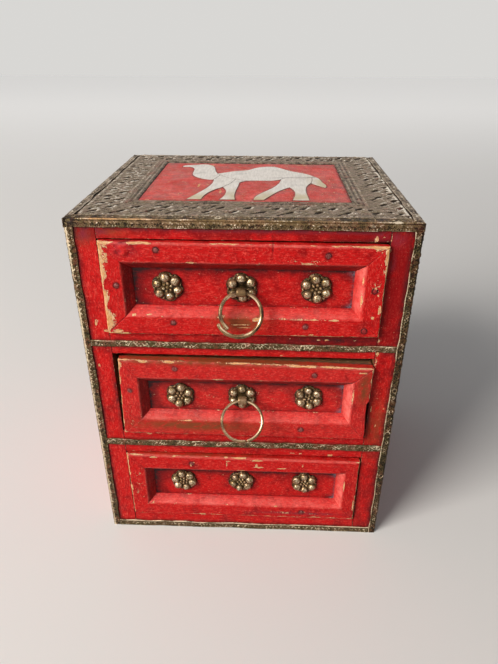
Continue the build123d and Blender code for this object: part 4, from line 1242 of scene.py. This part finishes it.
def moulding(drawer, side, seed):
    """A moulding: every line of its section is stretched from one mitre to the next."""
    sizes = DRAWERS[drawer]
    i = SIDES.index(side)
    j = (i + 1) % 4
    outer, flat = np.array(sizes["corners"]), rectangle(*sizes["flat"])
    panel = rectangle(*shrunk(sizes["flat"], MOULDING_BEVEL))
    inner_line = flat[j] - flat[i]
    width = np.linalg.norm(np.cross(inner_line, outer[i] - flat[i])) / np.linalg.norm(inner_line)
    inward, depth = moulding_section(width)
    reach = np.linalg.norm(outer[j] - outer[i])
    share, inward = np.meshgrid(np.linspace(0, 1, round(reach / MOULDING_STEP) + 1), inward, indexing="ij")
    over = np.clip(inward / width, 0, 1)[..., None]
    down = np.clip((inward - width) / MOULDING_BEVEL, 0, 1)[..., None]

    def along(corners):
        """Points spread along this side of a rectangle."""
        return corners[i] + share[..., None] * (corners[j] - corners[i])

    edge = along(outer)
    if side == "top":
        edge[..., 1] += sizes["bow"] * np.sin(np.pi * share)
    place = edge + over * (along(flat) - edge) + down * (along(panel) - along(flat))
    y_face = -Y_OUT - sizes["proud"]
    points = np.stack([place[..., 0], np.broadcast_to(y_face + depth, place.shape[:2]), place[..., 1]], -1)
    hollow = 0.05 * (1 + ripple(points, 15.0, seed)) + 0.04 * (1 + ripple(points, 4.0, seed + 1))
    points[..., 1] += hollow * (depth < MOULDING_DEPTH - 0.6)
    centre = np.mean(flat, axis=0)
    pull = 0.10 * (1 + ripple(points, 6.0, seed + 2)) * np.clip(1 - inward / 1.5, 0, 1)
    points[..., [0, 2]] += pull[..., None] * np.sign(centre - points[..., [0, 2]]) * (i % 2, (i + 1) % 2)
    below, bite = BITES.get((drawer, side), (0.0, 0.0))
    lower = below - points[..., 2]
    bite *= np.clip(lower / 1.6, 0, 1) * np.clip((26 - lower) / 18, 0.25, 1)
    points[..., 0] -= bite * np.clip(1 - inward / 2.8, 0, 1)
    gape = [1.0 if (drawer, corner) in OPEN_MITRES else 0.3 for corner in (i, j)]
    mitre = gape[0] * bump(share * reach, 0.45) + gape[1] * bump((1 - share) * reach, 0.45)
    blister = front_spots(drawer, "mended", points)
    mended = bump(blister - 0.45, 0.10) * np.clip(0.5 + ripple(points, 5.0, seed + 9), 0, 1)
    blister *= 1 + 0.7 * ripple(points, 3.0, seed + 5)
    crack = front_spots(drawer, "cracked", points)
    points[..., 1] += 0.18 * mitre + (0.3 * crack - 0.5 * blister) * (depth < 0.8)
    back = points[:, [0, -1]].copy()
    back[..., 1] = y_face + MOULDING_DEPTH + 0.05
    mesh_points, faces = sheet(points, back)

    forwards = share if side in ("bottom", "right") else 1 - share
    broken = np.clip(0.95 + 0.45 * ripple(points, 6.0, seed + 3), 0.4, 1.5)
    chips = front_spots(drawer, "chipped", points) * (depth < 1.2)
    arris = bump(inward - width, 0.42) * np.clip(0.8 + 0.5 * ripple(points, 14.0, seed + 6), 0.3, 1.3)
    foot_line = bump((1 - down[..., 0]) * MOULDING_BEVEL, 0.4) * (side == "bottom")
    wear = highest(band_wear(drawer, side, forwards, (inward + 0.3 * depth) / broken), chips,
                   (0.46 if side == "bottom" else 0.38) * arris,
                   0.30 * front_spots(drawer, "flecked", points))
    wear *= np.clip(2.2 - depth, 0, 1)
    wear = np.maximum(wear, 0.46 * foot_line * np.clip(0.5 + ripple(points, 22.0, seed + 8), 0, 1))

    # Dark mitres, the rim of the mended blister, the crack and the rings round the brads are dirt. The foot
    # of each bevel, the left and top bevels and the outer side of the left moulding are painted shade, turned
    # away from the window.
    grime_and_shade = 0.4 * mitre * (inward < width) + 0.5 * np.clip(down[..., 0] - 0.6, 0, 1) + 0.9 * mended + crack
    grime_and_shade += 0.9 * (side == "left") * np.clip(depth - 0.6, 0, 1) * (inward < 0.1)
    grime_and_shade += {"left": 0.55, "top": 0.5}.get(side, 0.0) * (down[..., 0] > 0)
    grime_and_shade += 0.12 * (side == "right") * (drawer != "top") * (inward < width)
    for x, z in BRADS[drawer]:
        grime_and_shade += 1.1 * bump(past(np.hypot(points[..., 0] - x, points[..., 2] - z) - 1.3), 0.6)

    # Painted sheen: the right and lower bevels, turned to the window and the sky, are painted paler, and so
    # are the arrises and the rounded upper edge of the top moulding. The middle drawer is a little faded all
    # over.
    sloping = np.clip(down[..., 0] * 6, 0, 1) * np.clip(1.15 - down[..., 0], 0, 1)
    fade_and_sheen = {"right": 1.0 + 0.5 * down[..., 0], "bottom": SHEEN_AND_FADE[drawer][0]}.get(side, 0.0) * sloping
    fade_and_sheen = fade_and_sheen * np.clip(0.9 + 0.3 * ripple(points, 12.0, seed), 0, 1)
    fade_and_sheen += 0.5 * arris + 0.6 * bump(np.hypot(inward, depth) - 0.6, 0.5) * (side == "top") + SHEEN_AND_FADE[drawer][1]
    scuff = 1.1 * front_spots(drawer, "scuffed", points) * np.clip(1.0 - 0.8 * blister, 0.1, 1)
    marks = {"wear": wear, "grime_and_shade": grime_and_shade, "scuff": scuff, "fade_and_sheen": fade_and_sheen,
             "browned": 1.3 * front_spots(drawer, "browned", points)}
    return new_piece(f"{drawer}_moulding_{side}", mesh_points, faces, f"{drawer}_drawer", PAINT[2 * (i % 2)],
                     [f"drawer_{drawer}_moulding_{side}"], with_back(back, marks))


for number, drawer in enumerate(DRAWERS):
    for turn, side in enumerate(SIDES):
        moulding(drawer, side, seed=300 + 20 * number + 4 * turn)
print("mouldings:", len(DRAWERS) * len(SIDES))

# %% [markdown]
# # The panels inside the mouldings
# The front board shows as a sunken panel. Where it meets the moulding and round the fittings it is
# darker: dust and old polish, and painted shade from the mouldings and rosettes, heaviest on the left
# and at the top. That is what makes the panel look deep.

# %% Front boards
ROSETTE_RADIUS = 7.5
BOARD_IN = 0.25                       # how far in from the mouldings' outermost corners the board stops
BOARD_LOWER = 0.2                     # and how far below the lower of the two upper corners


def front_board(drawer, seed):
    """The board behind the mouldings, of which the sunken panel shows. Its marks follow the panel's rim."""
    sizes = DRAWERS[drawer]
    x_low, z_low = np.array(sizes["corners"]).min(0) + BOARD_IN
    x_high, z_high = np.array(sizes["corners"]).max(0) - BOARD_IN
    z_high = min(z_high, min(z for _, z in sizes["corners"][2:]) - BOARD_LOWER)
    y_panel = -Y_OUT - sizes["proud"] + MOULDING_DEPTH
    grid = level_grid((x_low, x_high), (z_low, z_high), 0.6)
    front = np.stack([grid[..., 0], np.full(grid.shape[:2], y_panel), grid[..., 1]], -1)
    front[..., 1] += 0.06 * (1 + ripple(front, 18.0, seed))
    back = front[:, [0, -1]].copy()
    back[..., 1] = y_panel + FRONT_BOARD
    points, faces = sheet(front, back)

    x0, x1, z0, z1 = shrunk(sizes["flat"], MOULDING_BEVEL)
    rim = inset_of(front[..., 0], front[..., 2], x0, x1, z0, z1)
    from_left, from_right = past(front[..., 0] - x0), past(x1 - front[..., 0])
    from_bottom, from_top = past(front[..., 2] - z0), past(z1 - front[..., 2])
    upper_right, lower_right = np.hypot(from_right, from_top), np.hypot(from_right, from_bottom)
    # Darker round the rim, on the left, at the top, in the corners and round the rosettes: old polish and
    # dirt, and painted shade from the mouldings and rosettes, heaviest away from the window.
    grime_and_shade = 0.45 * bump(past(rim), 1.2) + 0.25 * bump(past(rim), 3.5)
    grime_and_shade += 0.45 * bump(from_left, 4.5) + 0.35 * bump(from_top, 1.4)
    grime_and_shade += 0.6 * bump(np.hypot(from_left, from_top), 6.0)
    grime_and_shade += 0.4 * bump(upper_right, 3.6) + 0.4 * bump(lower_right, 3.6)
    for x, z in sizes["rosettes"]:
        away = past(np.hypot(front[..., 0] - x, front[..., 2] - z) - ROSETTE_RADIUS)
        grime_and_shade = highest(grime_and_shade, 0.7 * bump(away, 1.0), 0.3 * bump(away, 4.0))
    # Under the mouldings the board is painted dark: painted shade for the gaps round the front.
    grime_and_shade += 0.9 * (rim < -MOULDING_BEVEL)
    dust = (bump(upper_right, 2.4) + bump(lower_right, 2.4) + 0.4 * bump(from_right, 0.8)) * (rim > -0.3)
    # deep: a painted shadow of the left and top mouldings across the panel.
    deep = 0.45 * bump(from_left, 7.0) + 0.25 * bump(from_top, 5.0)
    marks = {"wear": 0.12, "fade_and_sheen": SHEEN_AND_FADE[drawer][1],
             **with_back(back, {"dust": dust, "deep": deep, "grime_and_shade": grime_and_shade, "raw": 0 * grime_and_shade}, {"raw": 1.0})}
    return new_piece(f"{drawer}_front_board", points, faces, f"{drawer}_drawer", PAINT[0],
                     [f"drawer_{drawer}_front"], marks)


for number, drawer in enumerate(DRAWERS):
    front_board(drawer, 400 + 9 * number)
print("front boards:", len(DRAWERS))

# %% [markdown]
# # Turned shapes: nails, brads and beads
# A nail head is a profile turned round its axis: distance from the axis and height, carried round a
# circle. Hammered heads are never perfect, so each one is tilted, squashed and dented a little by
# numbers drawn once from a fixed seed. Many heads are joined into one piece, as their node is.

# %% Turned heads
def capped(rings, first, last):
    """A closed skin over rings of points (count, sides, 3), from one pole to the other."""
    count, sides = rings.shape[:2]
    points = np.concatenate([rings.reshape(-1, 3), [first, last]])
    numbers = np.arange(count)[:, None] * sides + np.arange(sides + 1) % sides
    at_first, at_last = len(points) - 2, len(points) - 1
    start = np.stack([np.full(sides, at_first), numbers[0, :-1], numbers[0, 1:]], 1)
    end = np.stack([np.full(sides, at_last), numbers[-1, 1:], numbers[-1, :-1]], 1)
    return points, facing_out(points, [grid_faces(numbers), start, end])


def turned(radii, heights, sides=14):
    """A profile carried round the axis: its radius times (cos, sin) of the angle, and its height.

    The first and last radii are 0, so both poles are single points.
    """
    angle = np.linspace(0, 2 * np.pi, sides, endpoint=False)
    level = np.broadcast_to(heights[1:-1, None], (len(radii) - 2, sides))
    rings = np.stack([radii[1:-1, None] * np.cos(angle), radii[1:-1, None] * np.sin(angle), level], -1)
    return capped(rings, (0, 0, heights[0]), (0, 0, heights[-1]))


def turn_to(points, out):
    """Points about local +Z, turned so that +Z lies along the axis direction out."""
    out = np.array(out, float)
    across = np.array([0.0, 0.0, 1.0]) if abs(out[2]) < 0.5 else np.array([0.0, 1.0, 0.0])
    right = np.cross(across, out)
    return points @ np.stack([right, across, out])


def joined(parts):
    """Several (points, faces) as one: the point numbers of each part are shifted past the last."""
    points, faces, count = [], [], 0
    for part_points, part_faces in parts:
        points.append(part_points)
        faces.extend(f + count for f in part_faces)
        count += len(part_points)
    return np.concatenate(points), faces


def head_profile(radius, rise, skirt=0.25, rings=5):
    """A low dome over a short skirt: heights follow a circle's arc, and the skirt sinks into the wood."""
    arc = np.linspace(0, np.pi / 2, rings)
    radii = np.concatenate([radius * np.sin(arc), [radius, 0.0]])
    heights = np.concatenate([rise * np.cos(arc), [-skirt, -skirt]])
    return radii, heights


def heads(places, radius, rise, seed):
    """Heads at (x, y, z, out), each with its own small tilt, squash and size."""
    draw = np.random.default_rng(seed)
    parts = []
    for *at, out in places:
        profile = head_profile(radius * draw.uniform(0.88, 1.08), rise * draw.uniform(0.7, 1.0))
        points, faces = turned(*profile)
        lean = draw.uniform(-0.16, 0.16, 2)
        points[:, 2] += points[:, 0] * lean[0] + points[:, 1] * lean[1]
        points[:, 0] *= draw.uniform(0.9, 1.08)
        points[:, 2] -= 0.08 * rise * (1 + ripple(points + np.array(at), 1.3, seed))
        parts.append((turn_to(points, out) + np.array(at), faces))
    return joined(parts)


def both_ways(places):
    """Each place and its mirror image, the negative one first."""
    return [(side * x, z) for x, z in places for side in (-1, 1)]


FRONT_OUT, BACK_OUT, LEFT_OUT, RIGHT_OUT = (0, -1, 0), (0, 1, 0), (-1, 0, 0), (1, 0, 0)
NAIL_RADIUS, NAIL_RISE = 1.0, 0.38
BRAD_RADIUS, BRAD_RISE = 1.28, 0.28
FOOT_NAIL_Z, EDGE_NAIL_Z = 2.2, 197.7
FRONT_NAILS = [(-61.8, EDGE_NAIL_Z), (58.9, EDGE_NAIL_Z), (-75.4, 133.6), (61.5, 133.6), (76.4, 133.6),
               (-75.6, 68.3), (75.6, 68.3), (80.4, 192.5), (-80.4, 186.0), (80.4, 104.0), (-80.4, 104.0),
               (80.4, 22.0), (-80.4, 22.0), (-50.0, FOOT_NAIL_Z), (48.0, FOOT_NAIL_Z)]
BACK_NAILS = both_ways([(60.0, EDGE_NAIL_Z), (80.4, 180.0), (80.4, 100.0), (80.4, 22.0), (50.0, FOOT_NAIL_Z)])
SIDE_NAILS = both_ways([(45.0, EDGE_NAIL_Z), (70.9, 180.0), (70.9, 100.0), (70.9, 22.0), (45.0, FOOT_NAIL_Z)])
nail_places = [(x, -Y_OUT, z, FRONT_OUT) for x, z in FRONT_NAILS]
nail_places += [(x, Y_OUT, z, BACK_OUT) for x, z in BACK_NAILS]
nail_places += [(-X_OUT, y, z, LEFT_OUT) for y, z in SIDE_NAILS]
nail_places += [(X_OUT, y, z, RIGHT_OUT) for y, z in SIDE_NAILS]
nail_points, nail_faces = heads(nail_places, NAIL_RADIUS, NAIL_RISE, seed=500)
nail_height = np.clip(np.abs(nail_points[:, :2]) - (X_OUT, Y_OUT), 0, 1).sum(1)
new_piece("brass_nails", nail_points, nail_faces, "carcase", NAIL_BRASS, ["strip_nails"],
          {"relief": 0.25 + 1.6 * nail_height})
print("nails:", len(nail_places))

# %% [markdown]
# # Iron brads
# Brads with small round heads pin the mouldings. They are the same turned heads in another finish: old
# iron, greyer where it is worn, with a little rust, and red where the paint went over it.

# %% Iron brads
def iron(name, dark, pale, rust):
    """Old iron: dark, with greyer worn spots and a little rust."""
    material, tree, shader = finish_of(name)
    patina, grit = cloud(tree, 0.9, 4), cloud(tree, 0.3, 2, shift=4.0)
    body = mix(tree, rise(tree, patina, 0.42, 0.62), dark, pale)
    body = mix(tree, times(tree, rise(tree, grit, 0.55, 0.7), 0.5), body, rust)
    painted = times(tree, value_of(tree, "painted"), rise(tree, grit, 0.34, 0.46))
    body = mix(tree, painted, body, DEEP_RED)
    tree.links.new(body, shader.inputs["Base Color"])
    bare = calc(tree, "SUBTRACT", 0.3, times(tree, value_of(tree, "painted"), 0.3))
    tree.links.new(times(tree, rise(tree, patina, 0.3, 0.7), bare), shader.inputs["Metallic"])
    tree.links.new(calc(tree, "ADD", 0.42, times(tree, grit, 0.3)), shader.inputs["Roughness"])
    relief_bump(tree, shader, grit, 0.10)
    return material


IRON = iron("old_iron", colour(104, 34, 30), colour(146, 100, 92), colour(120, 40, 30))
for number, (drawer, places) in enumerate(BRADS.items()):
    y_face = -Y_OUT - DRAWERS[drawer]["proud"] + 0.06
    at = [(x, y_face, z, FRONT_OUT) for x, z in places]
    brad_points, brad_faces = heads(at, BRAD_RADIUS, BRAD_RISE, seed=520 + number)
    painted = brad_points[:, 0] > PAINTED_BEYOND
    new_piece(f"{drawer}_iron_brads", brad_points, brad_faces, f"{drawer}_drawer", IRON,
              [f"drawer_{drawer}_brads"], {"painted": 0.9 * painted + 0.25})
print("brads:", sum(map(len, BRADS.values())))

# %% [markdown]
# # Stamped rosettes
# A rosette is a small flower stamped from sheet brass: six domed bosses round a cluster of beads, with
# a smaller bead in each outer gap. Where a ring's pin goes through, there is no cluster. A stamping is a
# height over a disc, so it is worked out on a polar grid: at every point the highest of all its domes
# wins. A dome is part of a ball, and its height is the square root of the ball's radius squared less the
# distance squared.

# %% Rosettes
BOSSES, BOSS_CIRCLE, BOSS, BOSS_LIFT = 6, 5.1, 2.55, 0.45
GAP_CIRCLE, GAP_BEAD, GAP_LIFT = 6.5, 0.85, 0.55
BEAD_CIRCLE, BEAD, BEAD_LIFT = 2.0, 0.85, 1.2
PLATE, LOBE = 0.7, 2.75
ROSETTE_GRID = (150, 34)              # points round the rosette, and from its middle to its rim
SKIRT = 0.2                           # how far the rim is let into the paint


def on_circle(radius, count, start):
    """Points spread evenly round a circle; start is the angle of the first, in degrees."""
    angle = np.radians(start) + np.arange(count) * 2 * np.pi / count
    return radius * np.stack([np.cos(angle), np.sin(angle)], -1)


def domes(x, y, places, radius, lift):
    """The highest of several domes over each point, and 0 beside them."""
    height = np.zeros_like(x)
    for (px, py), size in zip(places, np.broadcast_to(radius, len(places))):
        under = size ** 2 - (x - px) ** 2 - (y - py) ** 2
        height = np.maximum(height, np.where(under > 0, lift + np.sqrt(np.clip(under, 0, None)), 0))
    return height


def rosette(turn, seed, beaded=True):
    """Points, faces and relief of one rosette, lying flat at the origin and turned by some degrees."""
    draw = np.random.default_rng(seed)
    bosses = on_circle(BOSS_CIRCLE, BOSSES, 90 + turn) + draw.normal(0, 0.15, (BOSSES, 2))
    gaps = on_circle(GAP_CIRCLE, BOSSES, 90 + turn + 180 / BOSSES)
    angle, share = np.meshgrid(np.linspace(0, 2 * np.pi, ROSETTE_GRID[0], endpoint=False),
                               np.linspace(0, 1, ROSETTE_GRID[1])[1:], indexing="xy")
    in_gap = 1 - np.abs(np.cos((angle - np.radians(90 + turn)) * BOSSES / 2))
    lobe = BOSS_CIRCLE + LOBE - 1.1 * in_gap ** 1.4
    x, y = share * lobe * np.cos(angle), share * lobe * np.sin(angle)
    height = np.maximum(PLATE, domes(x, y, bosses, BOSS * draw.uniform(0.84, 1.02, BOSSES), BOSS_LIFT))
    height = np.maximum(height, domes(x, y, gaps, GAP_BEAD, GAP_LIFT))
    if beaded:
        cluster = np.concatenate([on_circle(BEAD_CIRCLE, 6, turn + 10), [(0, 0)]])
        sizes = BEAD * draw.uniform(0.85, 1.1, len(cluster))
        height = np.maximum(height, domes(x, y, cluster, sizes, BEAD_LIFT))
    place = np.stack([x, y, height], -1)
    height = height - 0.10 * (1 + ripple(place, 2.4, seed)) - 0.25 * (share > 0.985)
    top = np.stack([x, y, height], -1)
    skirt = np.stack([x[-1], y[-1], np.full(x.shape[1], -SKIRT)], -1)[None]
    centre = height[0].mean()
    points, faces = capped(np.concatenate([top, skirt]), (0, 0, centre), (0, 0, -SKIRT))
    raised = 0.08 + np.clip((height.ravel() - 0.6) / 2.3, 0, 0.64)
    relief = np.concatenate([raised, np.zeros(x.shape[1]), [0.4, 0]])
    return points, faces, relief


ROSETTE_BRASS = aged_brass("rosette_brass", [(36, 26, 15), (116, 92, 56), (134, 104, 74), (234, 214, 182),
                                             (214, 180, 120)], 0.18, metal=0.72, speckle=0.9)
TURNS = {"top": (10, 4, 7), "middle": (-6, 2, 6), "bottom": (14, -12, 3)}
PULLS = ("top", "middle")
for number, (drawer, turns) in enumerate(TURNS.items()):
    y_panel = -Y_OUT - DRAWERS[drawer]["proud"] + MOULDING_DEPTH
    flowers, reliefs = [], []
    for place, ((x, z), turn) in enumerate(zip(DRAWERS[drawer]["rosettes"], turns)):
        beaded = drawer not in PULLS or place != 1
        points, faces, relief = rosette(turn, 600 + 10 * number + place, beaded)
        flowers.append((turn_to(points, FRONT_OUT) + (x, y_panel, z), faces))
        reliefs.append(relief)
    rosette_points, rosette_faces = joined(flowers)
    new_piece(f"{drawer}_brass_rosettes", rosette_points, rosette_faces, f"{drawer}_drawer", ROSETTE_BRASS,
              [f"drawer_{drawer}_rosettes"], {"relief": np.concatenate(reliefs)})
print("rosettes:", sum(map(len, TURNS.values())))

# %% [markdown]
# # Sections along a path
# Bent wire and bent band are the same kind of shape: a section carried along a path. Each path here lies
# in one plane, so the way across it is never in doubt: it is the plane's own normal. A curve with a
# bevel would come close, but here the section narrows and widens on its way.

# %% Sections along a path
def swept(path, normal, across, thick, shape=1.0, sides=12):
    """An oval section carried along a flat path (n, 3), closed by a point at each end.

    across: half width along the plane's normal; thick: half thickness in the plane. Both may change
    along the path. The section is a circle where shape is 1, and nears a rectangle as it goes to 0.
    """
    normal = np.array(normal, float)
    ahead = np.gradient(path, axis=0)
    ahead /= np.linalg.norm(ahead, axis=1)[:, None]
    inward = np.cross(ahead, normal)
    angle = np.linspace(0, 2 * np.pi, sides, endpoint=False)
    cos, sin = (np.sign(part(angle)) * np.abs(part(angle)) ** shape for part in (np.cos, np.sin))
    across, thick = (np.broadcast_to(size, len(path))[:, None, None] for size in (across, thick))
    rings = path[:, None] + across * cos[:, None] * normal + thick * sin[:, None] * inward[:, None]
    return capped(rings, path[0], path[-1])


def arc(centre, radius, start, sweep, count):
    """Points of a circle's arc in its own plane, from an angle through a sweep, in degrees."""
    angle = np.radians(start + np.linspace(0, sweep, count))
    return np.array(centre) + radius * np.stack([np.cos(angle), np.sin(angle)], -1)


RING_BRASS = aged_brass("ring_brass", [(66, 46, 30), (132, 104, 70), (140, 110, 82), (232, 206, 168),
                                       (206, 170, 116)], 0.14, metal=0.5, speckle=0.35)
print("ring brass ready")

# %% [markdown]
# # Split pins and rings
# A pull is a ring of thick brass wire held by a split pin: a band bent round the wire, pushed through
# the board, and its two legs folded over behind. The pin's path lies in an upright plane, and the ring's
# in the plane the ring hangs in.

# %% Split pins and rings
EYE_BAND, EYE_BORE, EYE_WIDTH, EYE_SPLAY = 0.9, 1.4, 3.2, 6.0
LOOP_WIDTH = 4.6
RING_SIDES = 16                       # sides of the wire's section
RINGS = {        # lean: degrees out from upright. start, overlap: of the wire's ends. polish: how bright
    "top": dict(hinge=(-0.4, -74.8, 164.9), lean=28.0, wire=1.05, inner=9.9, outer=11.05,
                start=206.0, overlap=28.0, polish=0.02),
    "middle": dict(hinge=(0.0, -75.4, 101.4), lean=38.5, wire=0.85, inner=10.75, outer=10.85,
                   start=285.0, overlap=-1.5, polish=0.34),
}


def split_pin(drawer):
    """The band's middle line, as (y, z) from the hinge: up the fold, through the board, round the loop."""
    x, y, z = RINGS[drawer]["hinge"]
    behind = -Y_OUT - DRAWERS[drawer]["proud"] + MOULDING_DEPTH + FRONT_BOARD - y + EYE_BAND / 2
    half, loop = EYE_BAND / 2, EYE_BORE + EYE_BAND / 2
    leg = np.linspace(behind - 0.6, loop + 0.6, 12)
    upper = [np.stack([np.full(8, behind), np.linspace(EYE_SPLAY, half + 0.6, 8)], -1),
             arc((behind - 0.6, half + 0.6), 0.6, 0, -90, 6)[1:], np.stack([leg, np.full(12, half)], -1)[1:]]
    round_loop = arc((0, 0), loop, 17, 326, 40)
    upper = np.concatenate(upper)
    lower = upper[::-1] * (1, -1)
    line = np.concatenate([upper, round_loop, lower])
    path = np.stack([np.full(len(line), x), y + line[:, 0], z + line[:, 1]], -1)
    in_board = np.clip((line[:, 0] - loop) / 1.0, 0, 1)
    across = 0.5 * (LOOP_WIDTH + (EYE_WIDTH - LOOP_WIDTH) * in_board)
    points, faces = swept(path, (1, 0, 0), across, half, shape=0.62, sides=20)
    points[:, 0] += 0.05 * ripple(points, 1.6, 640)
    front = np.clip((y - points[:, 1]) / 2.0, 0, 1)
    return new_piece(f"{drawer}_split_pin", points, faces, f"{drawer}_drawer", RING_BRASS,
                     [f"ring_eye_{drawer}"], {"relief": RINGS[drawer]["polish"] + 0.26 * front})


def ring(drawer, seed):
    """Two half turns of slightly different radius, so that the ends of the wire lie beside each other."""
    sizes = RINGS[drawer]
    far = np.radians(sizes["start"] + 180)
    centre = np.array([0.0, -sizes["inner"]])
    centre_outer = centre - (sizes["outer"] - sizes["inner"]) * np.array([np.cos(far), np.sin(far)])
    first = arc(centre_outer, sizes["outer"], sizes["start"], 180, 70)
    second = arc(centre, sizes["inner"], sizes["start"] + 180, 180 + sizes["overlap"], 80)[1:]
    line = np.concatenate([first, second])
    lean = np.radians(sizes["lean"])
    up, normal = np.array([0, np.sin(lean), np.cos(lean)]), np.array([0, -np.cos(lean), np.sin(lean)])
    path = np.array(sizes["hinge"]) + line[:, :1] * (1, 0, 0) + line[:, 1:] * up
    length = np.cumsum(np.linalg.norm(np.diff(path, axis=0, prepend=path[:1]), axis=1))
    from_end = np.minimum(length, length[-1] - length)
    lower = np.clip(-line[:, 1] / 22, 0, 1)
    narrowed = 0.45 * np.clip(1 - from_end / 0.5, 0, 1) ** 2
    uneven = 0.04 * (1 + ripple(path, 5.0, seed))
    wire = sizes["wire"] * (0.90 + 0.14 * lower) * (1 - narrowed) * (1 - uneven)
    points, faces = swept(path, normal, wire, wire, sides=RING_SIDES)
    # One half of the wire's section is painted lighter: a painted highlight.
    highlit_side = np.arange(len(points)) % RING_SIDES > RING_SIDES / 2
    rubbed = 0.26 + 0.6 * sizes["polish"] + 0.25 * ripple(points, 7.0, seed + 1) + 0.5 * highlit_side
    return new_piece(f"{drawer}_pull_ring", points, faces, f"{drawer}_ring", RING_BRASS,
                     [f"ring_{drawer}"], {"relief": rubbed})


for number, drawer in enumerate(PULLS):
    split_pin(drawer)
    ring(drawer, seed=650 + 3 * number)
print("pulls:", len(PULLS))

# %% [markdown]
# # The bone camel
# The inlay is cut from flat plates of bone, let into the board and polished down with it. Its outline
# is already exact in the frame, so it is kept, and only finished: a Weld joins the loose triangles, and a
# Bevel rounds the sawn edges. Bone is pale and a little glossy, with fine streaks along it, a yellow
# stain at the feet and the tail, and dark joints: dirt, and painted shade wherever the surface is shut in.

# %% Bone
def bone():
    """Pale bone, with a stain at the feet and the tail, dark pores, one seam and dark joints."""
    material, tree, shader = finish_of("bone")
    streaks = cloud(tree, 1.0, 5, (1.0, 7.0, 1.0))
    blotches = cloud(tree, 11.0, 3)
    pores = cloud(tree, 0.45, 2, (1.0, 3.0, 1.0), shift=6.0)
    body = mix(tree, rise(tree, streaks, 0.35, 0.7), colour(226, 217, 206), colour(246, 238, 228))
    place = place_on(tree)
    feet = rise(tree, times(tree, place["Y"], -1.0), 0.012, 0.040)
    tail = rise(tree, place["X"], 0.030, 0.044)
    stain = times(tree, calc(tree, "MAXIMUM", feet, tail), rise(tree, blotches, 0.25, 0.6))
    body = mix(tree, stain, body, colour(206, 188, 146))
    body = mix(tree, times(tree, rise(tree, blotches, 0.55, 0.7), 0.35), body, colour(186, 180, 172))
    body = mix(tree, times(tree, rise(tree, pores, 0.66, 0.74), 0.5), body, colour(120, 104, 84))
    seam_y = calc(tree, "MULTIPLY_ADD", place["X"], 0.12, 0.0055)
    seam = calc(tree, "ABSOLUTE", calc(tree, "SUBTRACT", place["Y"], seam_y))
    seam = times(tree, rise(tree, seam, 0.0006, 0.0002), rise(tree, place["X"], 0.010, 0.016))
    body = mix(tree, times(tree, seam, 0.8), body, colour(110, 92, 96))
    # Darker where ambient occlusion finds the surface shut in: dirt in the joints, and painted shade in every
    # crease round the edges.
    open_sky = add(tree, "ShaderNodeAmbientOcclusion", {"Distance": 0.8 * MM}, samples=8).outputs["AO"]
    body = mix(tree, rise(tree, open_sky, 0.92, 0.55), body, colour(96, 66, 48))
    tree.links.new(body, shader.inputs["Base Color"])
    tree.links.new(calc(tree, "ADD", 0.30, times(tree, blotches, 0.25)), shader.inputs["Roughness"])
    relief_bump(tree, shader, streaks, 0.05)
    return material


def finish_node(node, finish, bevel):
    """Keeps a node of the frame: its triangles are joined, its edges rounded, and it gets a finish."""
    kept = bpy.data.objects[node]
    kept.data.materials.clear()
    kept.data.materials.append(finish)
    weld = kept.modifiers.new("join", "WELD")
    weld.merge_threshold = 0.00001
    edges = kept.modifiers.new("round", "BEVEL")
    edges.width, edges.segments, edges.limit_method = bevel * MM, 2, "ANGLE"
    edges.angle_limit = np.radians(40)
    edges.harden_normals = True


finish_node("camel_inlay", bone(), 0.14)
print("camel finished")

# %% [markdown]
# # Inside the drawers
# Behind each front is a plain box of thin sawn wood, never painted. It is only seen when a drawer is
# open, but it is what makes the drawer a drawer. The nodes are kept and get a finish whose grain runs
# along the boards, with darker blotches where the wood has aged.

# %% Drawer boxes
def plain_wood(along):
    """Sawn wood whose grain runs along one axis."""
    material, tree, shader = finish_of(f"plain_wood_{AXES[along]}")
    drawn = [1.0, 1.0, 1.0]
    drawn[along] = 14.0
    grain = cloud(tree, 1.1, 5, drawn)
    fine = cloud(tree, 0.4, 3, drawn, shift=2.0)
    blotches = cloud(tree, 22.0, 3)
    body = mix(tree, rise(tree, grain, 0.32, 0.68), colour(132, 92, 56), colour(184, 142, 96))
    body = mix(tree, times(tree, rise(tree, fine, 0.55, 0.75), 0.5), body, colour(104, 70, 42))
    body = mix(tree, times(tree, rise(tree, blotches, 0.45, 0.7), 0.4), body, colour(120, 84, 54))
    tree.links.new(body, shader.inputs["Base Color"])
    tree.links.new(calc(tree, "ADD", 0.55, times(tree, grain, 0.3)), shader.inputs["Roughness"])
    relief_bump(tree, shader, calc(tree, "ADD", grain, fine), 0.18)
    return material


PLAIN_WOOD = [plain_wood(axis) for axis in range(2)]
for drawer in DRAWERS:
    for part, along in (("left_wall", 1), ("right_wall", 1), ("back", 0), ("floor", 0)):
        finish_node(f"drawer_{drawer}_{part}", PLAIN_WOOD[along], 0.35)
print("drawer boxes:", len(DRAWERS))
